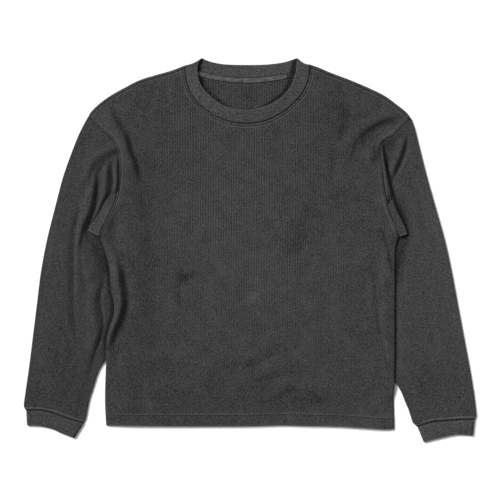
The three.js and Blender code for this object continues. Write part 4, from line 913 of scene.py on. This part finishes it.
def make_tape():
    """The tape over the seam inside the back neck, lying on the back panel just below the neckband."""
    rows = np.linspace(0, TAPE_DEPTH, 9)[:, None]
    plan = np.stack([tape_line(down) for down in rows[:, 0]])
    bulge = 0.25 * np.sin(np.pi * rows / TAPE_DEPTH)
    edge = 0.25 * ((rows == 0) | (rows == TAPE_DEPTH))
    low = KNIT + SEAM
    faces = [with_height(plan, low + TAPE + bulge - edge), with_height(plan, low + edge)]
    return cloth_wall("neck_tape_shell", *faces, {"cloth": cloth_place(lengths_along(plan[0]), rows)})


# Sewing. A stitch is a short round thread that rises out of the cloth and dips back into it
STITCH_LENGTH, STITCH_PITCH = 2.5, 3.2
THREAD_WIDTH, THREAD_ARCH, THREAD_SINK = 0.85, 0.192, 1.6
THREAD_FLATNESS = 0.8  # its height as a share of its width
STITCH_SECTIONS, STITCH_SIDES = 5, 6


def stitch_row(path, top):
    """Starts and ends of the stitches along a path, with the height of the cloth under them."""
    total = lengths_along(path)[-1]
    starts = np.arange(int(total / STITCH_PITCH)) * STITCH_PITCH / total
    ends = np.minimum(starts + STITCH_LENGTH / total, 1)
    return [with_height(p, top(p)) for p in (at_shares(path, starts), at_shares(path, ends))]


def bar_row(path, other, top, pitch):
    """Stitches that cross from one path to another, as an overlock does."""
    count = int(lengths_along(path)[-1] / pitch)
    shares = np.linspace(0, 1, count)
    ends = at_shares(path, shares), at_shares(other, np.minimum(shares + 0.5 / count, 1))
    return [with_height(p, top(p)) for p in ends]


def make_stitches(name, rows, width=THREAD_WIDTH):
    """All the stitches of a seam as one mesh of short closed threads."""
    starts, ends = (np.vstack([row[k] for row in rows]) for k in (0, 1))
    along = ends - starts
    side = unit(np.stack([-along[:, 1], along[:, 0], along[:, 2] * 0], axis=-1))
    share = np.linspace(0, 1, STITCH_SECTIONS)
    swell = np.sqrt(np.maximum(0.08, np.sin(np.pi * share)))
    angles = np.linspace(0, 2 * math.pi, STITCH_SIDES, endpoint=False)
    centre = starts[:, None] + along[:, None] * share[:, None]
    centre[..., 2] += THREAD_ARCH * (2 * swell - THREAD_SINK)
    radius = (width / 2 * swell)[:, None]
    points = centre[:, :, None] + side[:, None, None] * (radius * np.cos(angles))[None, ..., None]
    points[..., 2] += radius * np.sin(angles) * THREAD_FLATNESS
    tube = []
    for low in range(0, (STITCH_SECTIONS - 1) * STITCH_SIDES, STITCH_SIDES):
        for j in range(STITCH_SIDES):
            after = low + (j + 1) % STITCH_SIDES
            tube.append((low + j, after, after + STITCH_SIDES, low + j + STITCH_SIDES))
    for base, order in ((0, -1), ((STITCH_SECTIONS - 1) * STITCH_SIDES, 1)):
        for k in range(1, STITCH_SIDES // 2):
            cap = (k - 1, k, STITCH_SIDES - 1 - k, (STITCH_SIDES - k) % STITCH_SIDES)
            tube.append(tuple(base + corner for corner in cap[::order]))
    count = STITCH_SECTIONS * STITCH_SIDES
    faces = (np.array(tube)[None] + count * np.arange(len(starts))[:, None, None]).reshape(-1, 4)
    return make_mesh(name, points.reshape(-1, 3), faces, {})


class Value:
    """A number in a finish. Arithmetic on it adds Math nodes."""

    def __init__(self, finish, socket):
        self.finish, self.socket = finish, socket

    def math(self, operation, *terms):
        return self.finish.node("ShaderNodeMath", {"operation": operation}, dict(enumerate(terms)))

    def __add__(self, other):
        return self.math("ADD", self, other)

    def __sub__(self, other):
        return self.math("SUBTRACT", self, other)

    def __rsub__(self, other):
        return self.math("SUBTRACT", other, self)

    def __mul__(self, other):
        return self.math("MULTIPLY", self, other)

    def __truediv__(self, other):
        return self.math("DIVIDE", self, other)

    def __abs__(self):
        return self.math("ABSOLUTE", self)

    __radd__, __rmul__ = __add__, __mul__

    def waves(self, pitch, shift=0.0):
        """Waves between -1 and 1 along it, of that pitch."""
        return self.math("SINE", self * (2 * math.pi / pitch) + shift)

    def clamped(self):
        return self.finish.node("ShaderNodeClamp", {}, {"Value": self})

    def line(self, place, half_width):
        """1 where it has that value, fading to 0 over the half width on both sides."""
        return (1 - abs(self - place) / half_width).clamped()


class Finish:
    """A material made of nodes."""

    def __init__(self, name):
        self.material = bpy.data.materials.new(name)
        self.material.use_nodes = True
        self.tree = self.material.node_tree
        self.tree.nodes.clear()

    def node(self, kind, settings, sockets, output=0):
        """Adds a node, sets it up, fills its sockets, and gives one of its outputs if it has any."""
        new = self.tree.nodes.new(kind)
        for key, value in settings.items():
            setattr(new, key, value)
        for key, value in sockets.items():
            if isinstance(value, Value):
                self.tree.links.new(value.socket, new.inputs[key])
            else:
                new.inputs[key].default_value = value
        return Value(self, new.outputs[output]) if new.outputs else None

    def attribute(self, name):
        """A number that the mesh holds for each point."""
        return self.node("ShaderNodeAttribute", {"attribute_name": name}, {}, "Fac")

    def in_cloth(self):
        """The place in the cloth, and its two parts: across the ribs and along them, in millimetres."""
        place = self.node("ShaderNodeAttribute", {"attribute_name": "cloth"}, {}, "Vector")
        return place, *(self.node("ShaderNodeSeparateXYZ", {}, {"Vector": place}, part) for part in (0, 1))

    def in_space(self):
        """The place in metres."""
        return self.node("ShaderNodeTexCoord", {}, {}, "Object")

    def noise(self, place, scale, detail=2.0, roughness=0.5):
        """Noise between about -0.5 and 0.5. A scale may be one number, or one for each direction."""
        if isinstance(scale, tuple):
            place = self.node("ShaderNodeVectorMath", {"operation": "MULTIPLY"}, {0: place, 1: scale})
            scale = 1.0
        sockets = {"Vector": place, "Scale": scale, "Detail": detail, "Roughness": roughness}
        return self.node("ShaderNodeTexNoise", {}, sockets) - 0.5

    def flecks(self):
        """The pale and dark flecks of washed cotton, over a stitch or two."""
        here = self.in_space()
        fine = self.noise(here, tuple(0.82 / MM * part for part in (1, 0.75, 1)), 1.0, 0.8)
        coarse = self.noise(here, tuple(0.52 / MM * part for part in (1, 0.6, 1)), 0.0)
        return fine * 2.8 + coarse * 0.9

    def finished(self, colours, layers, middle=0.5, roughness=0.92, sheen=0.06):
        """Closes the material, which lies between a dark and a light colour. Each layer is a value, how much
        of it shows in the colour, and its relief in millimetres."""
        shade = sum(value * amount for value, amount, _ in layers) + middle
        height = sum(value * relief for value, _, relief in layers if relief)
        dark, light = colours
        tone = self.node("ShaderNodeMix", {"data_type": "RGBA"}, {0: shade.clamped(), 6: dark, 7: light}, 2)
        normal = self.node("ShaderNodeBump", {}, {"Strength": 1.0, "Distance": MM, "Height": height})
        sockets = {
            "Base Color": tone, "Roughness": roughness, "Normal": normal, "Specular IOR Level": 0.2,
            "Sheen Weight": sheen, "Sheen Roughness": 0.6,
        }
        shader = self.node("ShaderNodeBsdfPrincipled", {}, sockets)
        self.node("ShaderNodeOutputMaterial", {}, {"Surface": shader})
        return self.material


# How far the dark and the light colour are from the middle tone
KNIT_SPREAD, TAPE_SPREAD, THREAD_SPREAD = 0.85, 0.7, 0.4


def shades(tone, spread):
    """A dark and a light colour round a middle tone, which is the brightness of the faded dye."""
    tint = (1.0, 1.0, 1.005)
    return [tuple(tone * (1 + sign * spread) * part for part in tint) + (1.0,) for sign in (-1, 1)]


# Pitches of the ribs, of the loops along them, and of the tape's herringbone
BODY_RIB_PITCH, SLEEVE_RIB_PITCH, BAND_RIB_PITCH, CUFF_RIB_PITCH = 4.7, 3.4, 2.3, 2.4
BODY_LOOP_PITCH, SLEEVE_LOOP_PITCH, HERRINGBONE_PITCH = 3.1, 2.9, 1.9635
RIB_SWAY = 5  # how far a rib wanders
LOOP_LEAN = 0.8  # how far the loops of one rib are shifted against the next
# Rows of stitches on the body: how far from its seam each one runs, and how dark the painted shade in its groove
# is
ARMHOLE_ROW, SHOULDER_ROW, NECK_ROW = 5.0, 7.0, 6.4
ROW_GROOVES = {
    "from_armhole": (ARMHOLE_ROW, 0.55), "from_shoulder": (SHOULDER_ROW, 0.55), "from_neck": (NECK_ROW, 0.35),
}


def body_finish(name, tone):
    """Rib knit of the body: upright ribs, clearest at the middle, with stains, faded patches and painted crease
    shade, painted shade in the seam grooves, and pale seam lines that are partly wear and partly painted
    highlight.
    """
    finish = Finish(name)
    place, across, along = finish.in_cloth()
    ribs = (across + finish.noise(place, (0.006, 0.011, 0)) * RIB_SWAY).waves(BODY_RIB_PITCH)
    loops = along.waves(BODY_LOOP_PITCH, ribs * LOOP_LEAN)
    patchy = finish.noise(place, (0.02, 0.008, 0)) * 2 + 0.6
    middle = (1.3 - abs(across) / 170).clamped() * (along / 420 + 0.68).clamped() * 0.75 + 0.25
    clear_ribs = ribs * (patchy.clamped() * middle).clamped()
    dark, light = 0, 0
    # Painted shade in the seams' and stitch rows' grooves; the pale lines beside them are partly wear and partly
    # painted highlight
    for seam, (row, depth) in ROW_GROOVES.items():
        distance = finish.attribute(seam)
        dark = dark + distance.line(0.2, 1.6) * 0.4 + distance.line(row - 0.9, 1.6) * depth
        light = light + distance.line(2.4, 1.6) * 0.25 + distance.line(row + 1.3, 1.8) * 0.55
    # At the hem: painted shade below its step, a pale line above it, and a painted highlight along its rounded
    # edge
    hem = finish.attribute("from_hem")
    dark = dark + hem.line(HEM_DEPTH - 2.6, 1.8) * 0.24
    light = light + hem.line(HEM_DEPTH + 0.6, 2.2) * 0.08 + hem.line(0.4, 2.4) * 0.4
    light = light * (0.8 + finish.noise(place, 0.16, 2.0, 0.6) * 3)
    return finish.finished(shades(tone, KNIT_SPREAD), [
        (clear_ribs, 0.34, 0.35),
        (loops, 0.03, 0.03),
        (finish.flecks(), 0.9, 0.3),
        (finish.noise(place, 0.035, 3.0, 0.6), 0.55, 0),
        (finish.noise(place, 0.011), 0.16, 0),
        (finish.attribute("stain_and_shade"), 1, 0),
        (light, 1, 1.2),
        (dark, -1, -1.6),
    ])


def sleeve_finish(name, tone):
    """The sleeves' finer, flatter knit, with ribs along the sleeve."""
    finish = Finish(name)
    place, across, along = finish.in_cloth()
    ribs = (across + finish.noise(place, (0.01, 0.008, 0)) * RIB_SWAY).waves(SLEEVE_RIB_PITCH)
    loops = along.waves(SLEEVE_LOOP_PITCH, ribs * LOOP_LEAN)
    clear_ribs = ribs * (finish.noise(place, (0.03, 0.012, 0)) + 0.5).clamped()
    cuff, head = finish.attribute("from_cuff"), finish.attribute("from_armhole")
    # Painted shade in the grooves at the cuff seam and the armhole and beside the allowance's ridge; the pale
    # band on that ridge and the line by the armhole are partly wear and partly painted highlight
    dark = cuff.line(0.6, 1.8) * 0.6 + cuff.line(6.8, 1.3) * 0.3 + head.line(0.2, 1.3) * 0.3
    wear_and_highlight = 0.75 + finish.noise(place, 0.1, 2.0, 0.7) * 5.5
    light = cuff.line(4.1, 3.4) * wear_and_highlight + head.line(1.9, 1.2) * 0.1
    return finish.finished(shades(tone, KNIT_SPREAD), [
        (clear_ribs, 0.04, 0.05),
        (loops, 0.02, 0.02),
        (finish.flecks(), 0.86, 0.32),
        (finish.noise(place, 0.04, 3.0, 0.6), 0.28, 0),
        (finish.attribute("stain_and_shade"), 1, 1.2),
        (light, 1, 1.2),
        (dark, -1, -1.2),
    ])


def rib_finish(name, tone, pitch):
    """Fine doubled rib of the neckband, cuffs and gussets, a little paler along its folded edge."""
    finish = Finish(name)
    place, across, _ = finish.in_cloth()
    return finish.finished(shades(tone, KNIT_SPREAD), [
        (across.waves(pitch), 0.05, 0.25),
        (finish.flecks(), 0.84, 0.3),
        (finish.noise(place, 0.06), 0.3, 0),
        (finish.attribute("stain_and_shade"), 1, 0),
        (finish.attribute("from_edge").line(0, 2.6), 0.2, 0),
        # painted shade in the groove at the seam
        (finish.attribute("from_seam").line(0.2, 1.4), -0.25, -0.375),
    ])


def tape_finish(name, tone):
    """Woven tape: a fine herringbone, paler than the knit."""
    finish = Finish(name)
    place, along, down = finish.in_cloth()
    return finish.finished(shades(tone, TAPE_SPREAD), [
        ((along + abs(down - TAPE_DEPTH / 2)).waves(HERRINGBONE_PITCH), 0.12, 0.12),
        (finish.noise(place, 0.4, 2.0, 0.6), 0.9, 0.2),
        (finish.noise(place, (0.09, 0.2, 1)), 1.8, 0),
        (down.line(0.6, 1.0) + down.line(TAPE_DEPTH - 0.6, 1.0), -0.2, -0.3),
    ])


def thread_finish(name, tone):
    """Faded cotton thread with its twist."""
    finish = Finish(name)
    here = finish.in_space()
    twist = finish.node("ShaderNodeTexWave", {}, {"Vector": here, "Scale": 900.0, "Distortion": 3.0})
    layers = [(twist, 0.3, 0.1), (finish.noise(here, 500.0), 0.5, 0)]
    return finish.finished(shades(tone, THREAD_SPREAD), layers, middle=0.3, roughness=0.85)


def paper_finish(name):
    """The plain matte paper of the surface."""
    finish = Finish(name)
    colours = (0.90, 0.90, 0.90, 1), (0.93, 0.93, 0.93, 1)
    return finish.finished(colours, [(finish.noise(finish.in_space(), 220.0), 1, 0.02)], sheen=0.0)


def dress(piece, material):
    piece.data.materials.append(material)
    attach(piece, BODY)
    return piece


thread, pale_thread = thread_finish("seam_thread", 0.125), thread_finish("overlock_thread", 0.17)
gusset_rib = rib_finish("gusset_rib", 0.038, CUFF_RIB_PITCH)
front = dress(make_front(), body_finish("body_rib_knit", 0.034))
back = dress(make_back(), body_finish("back_rib_knit", 0.033))
neckband = dress(make_neckband(), rib_finish("neckband_rib", 0.053, BAND_RIB_PITCH))
tape = dress(make_tape(), tape_finish("neck_tape_weave", 0.075))
sleeves, cuffs, gussets = {}, {}, {}
# The left sleeve and cuff are darker than the right: painted shade, one knit given a shaded and a lit tone
for side, sleeve_tone_and_shade, cuff_tone_and_shade in (("left", 0.031, 0.0415), ("right", 0.0362, 0.049)):
    sleeves[side] = dress(make_sleeve(side), sleeve_finish(f"{side}_sleeve_knit", sleeve_tone_and_shade))
    cuffs[side] = dress(make_cuff(side), rib_finish(f"{side}_cuff_rib", cuff_tone_and_shade, CUFF_RIB_PITCH))
    gussets[side] = dress(make_gusset(side), gusset_rib)
    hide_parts(f"sleeve_{side}")
    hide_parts(f"cuff_{side}")
    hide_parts(f"gusset_{side}")
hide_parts("front_panel")
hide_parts("back_panel")
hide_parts("neckband")
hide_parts("neck_tape")

# Rows of stitches on the front: beside the neckband, along the hem, the armholes and the shoulders
neck_row = offset_path(neck_front, -NECK_ROW)[3:-3]
hem_row = curve_through([(x, y + HEM_DEPTH - 0.4) for x, y in HEM])[1:-1]
body_rows = {"stitches_neck": [neck_row], "stitches_hem": [hem_row]}
for side, inwards in OUTWARD.items():
    body_rows[f"stitches_body_{side}"] = [
        offset_path(armhole[side], inwards * ARMHOLE_ROW)[2:-2],
        offset_path(shoulder[side], inwards * SHOULDER_ROW)[1:-4],
    ]
body_stitches = [
    dress(make_stitches(name, [stitch_row(path, body_top) for path in paths]), thread)
    for name, paths in body_rows.items()
]

# Overlock bars across each sleeve's seam allowance at the cuff, and across the gussets
sleeve_stitches, gusset_stitches = {}, {}
for side in SIDE_NAMES:
    allowance = evenly(cuff_seam[side], 60)[4:-4]
    ends = [allowance + [0, distance] for distance in (3.2, 5.8)]
    bars = bar_row(*ends, lambda xy: sleeve_top(side, xy) + 0.6, 2.2)
    sleeve_stitches[side] = dress(make_stitches(f"overlock_sleeve_{side}", [bars]), thread)
    seam, fold = gusset_edges(side, GUSSET_STEPS)
    bottom = np.array([seam[0], fold[0]])
    ends = [mix(seam[k], fold[k], np.linspace(0.1, 0.95, 13)[:, None]) for k in (0, 1)]
    bars = bar_row(*ends, lambda xy: gusset_height(side, seam[0], nearest(bottom, xy)[1]), 2.1)
    gusset_stitches[side] = dress(make_stitches(f"overlock_gusset_{side}", [bars], 1.5), pale_thread)

tape_rows = [stitch_row(tape_line(down), lambda xy: KNIT + SEAM + TAPE) for down in (1.1, TAPE_DEPTH - 1.1)]
tape_stitches = dress(make_stitches("stitches_tape", tape_rows), thread)

# Areas and sizes of pieces of cloth, which these loops pass over without using
for side, area in (("left", 0.124), ("right", 0.115)):
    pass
for side, size, area in (("left", (0.023, 0.086), 0.0016), ("right", (0.022, 0.07), 0.00128)):
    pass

FLOOR_HALF, FLOOR_BELOW = 6.0, 0.0002  # the surface, in metres


def add_floor():
    mesh = bpy.data.meshes.new("floor")
    signs = (-1, -1), (1, -1), (1, 1), (-1, 1)
    corners = [(x * FLOOR_HALF, y * FLOOR_HALF, -FLOOR_BELOW) for x, y in signs]
    mesh.from_pydata(corners, [], [(0, 1, 2, 3)])
    mesh.materials.append(paper_finish("pale_paper"))
    add_object("floor", mesh)


def add_sun(name, direction, strength, softness):
    """A soft light from a direction, as bright over the whole surface. Softness is its angle in radians."""
    lamp = bpy.data.lights.new(name, "SUN")
    lamp.energy, lamp.angle = strength, softness
    light = add_object(name, lamp)
    light.rotation_mode = "QUATERNION"
    light.rotation_quaternion = Vector(direction).to_track_quat("Z", "Y")


def add_camera():
    """Straight down, with the photo's framing: a square of garment and surface."""
    framed, distance = 0.92, 4.0
    data = bpy.data.cameras.new("camera")
    data.lens = data.sensor_width * distance / framed
    camera = add_object("camera", data)
    camera.location = (0, 0, distance)
    bpy.context.scene.camera = camera


def light_room():
    world = bpy.data.worlds.new("studio")
    world.use_nodes = True
    background = world.node_tree.nodes["Background"]
    background.inputs["Color"].default_value = (1, 1, 1, 1)
    background.inputs["Strength"].default_value = 0.36
    bpy.context.scene.world = world
    bpy.context.scene.view_settings.view_transform = "Standard"


add_floor()
add_sun("key", (-0.85, 0.7, 0.9), 4.3, 0.4)
add_camera()
light_room()
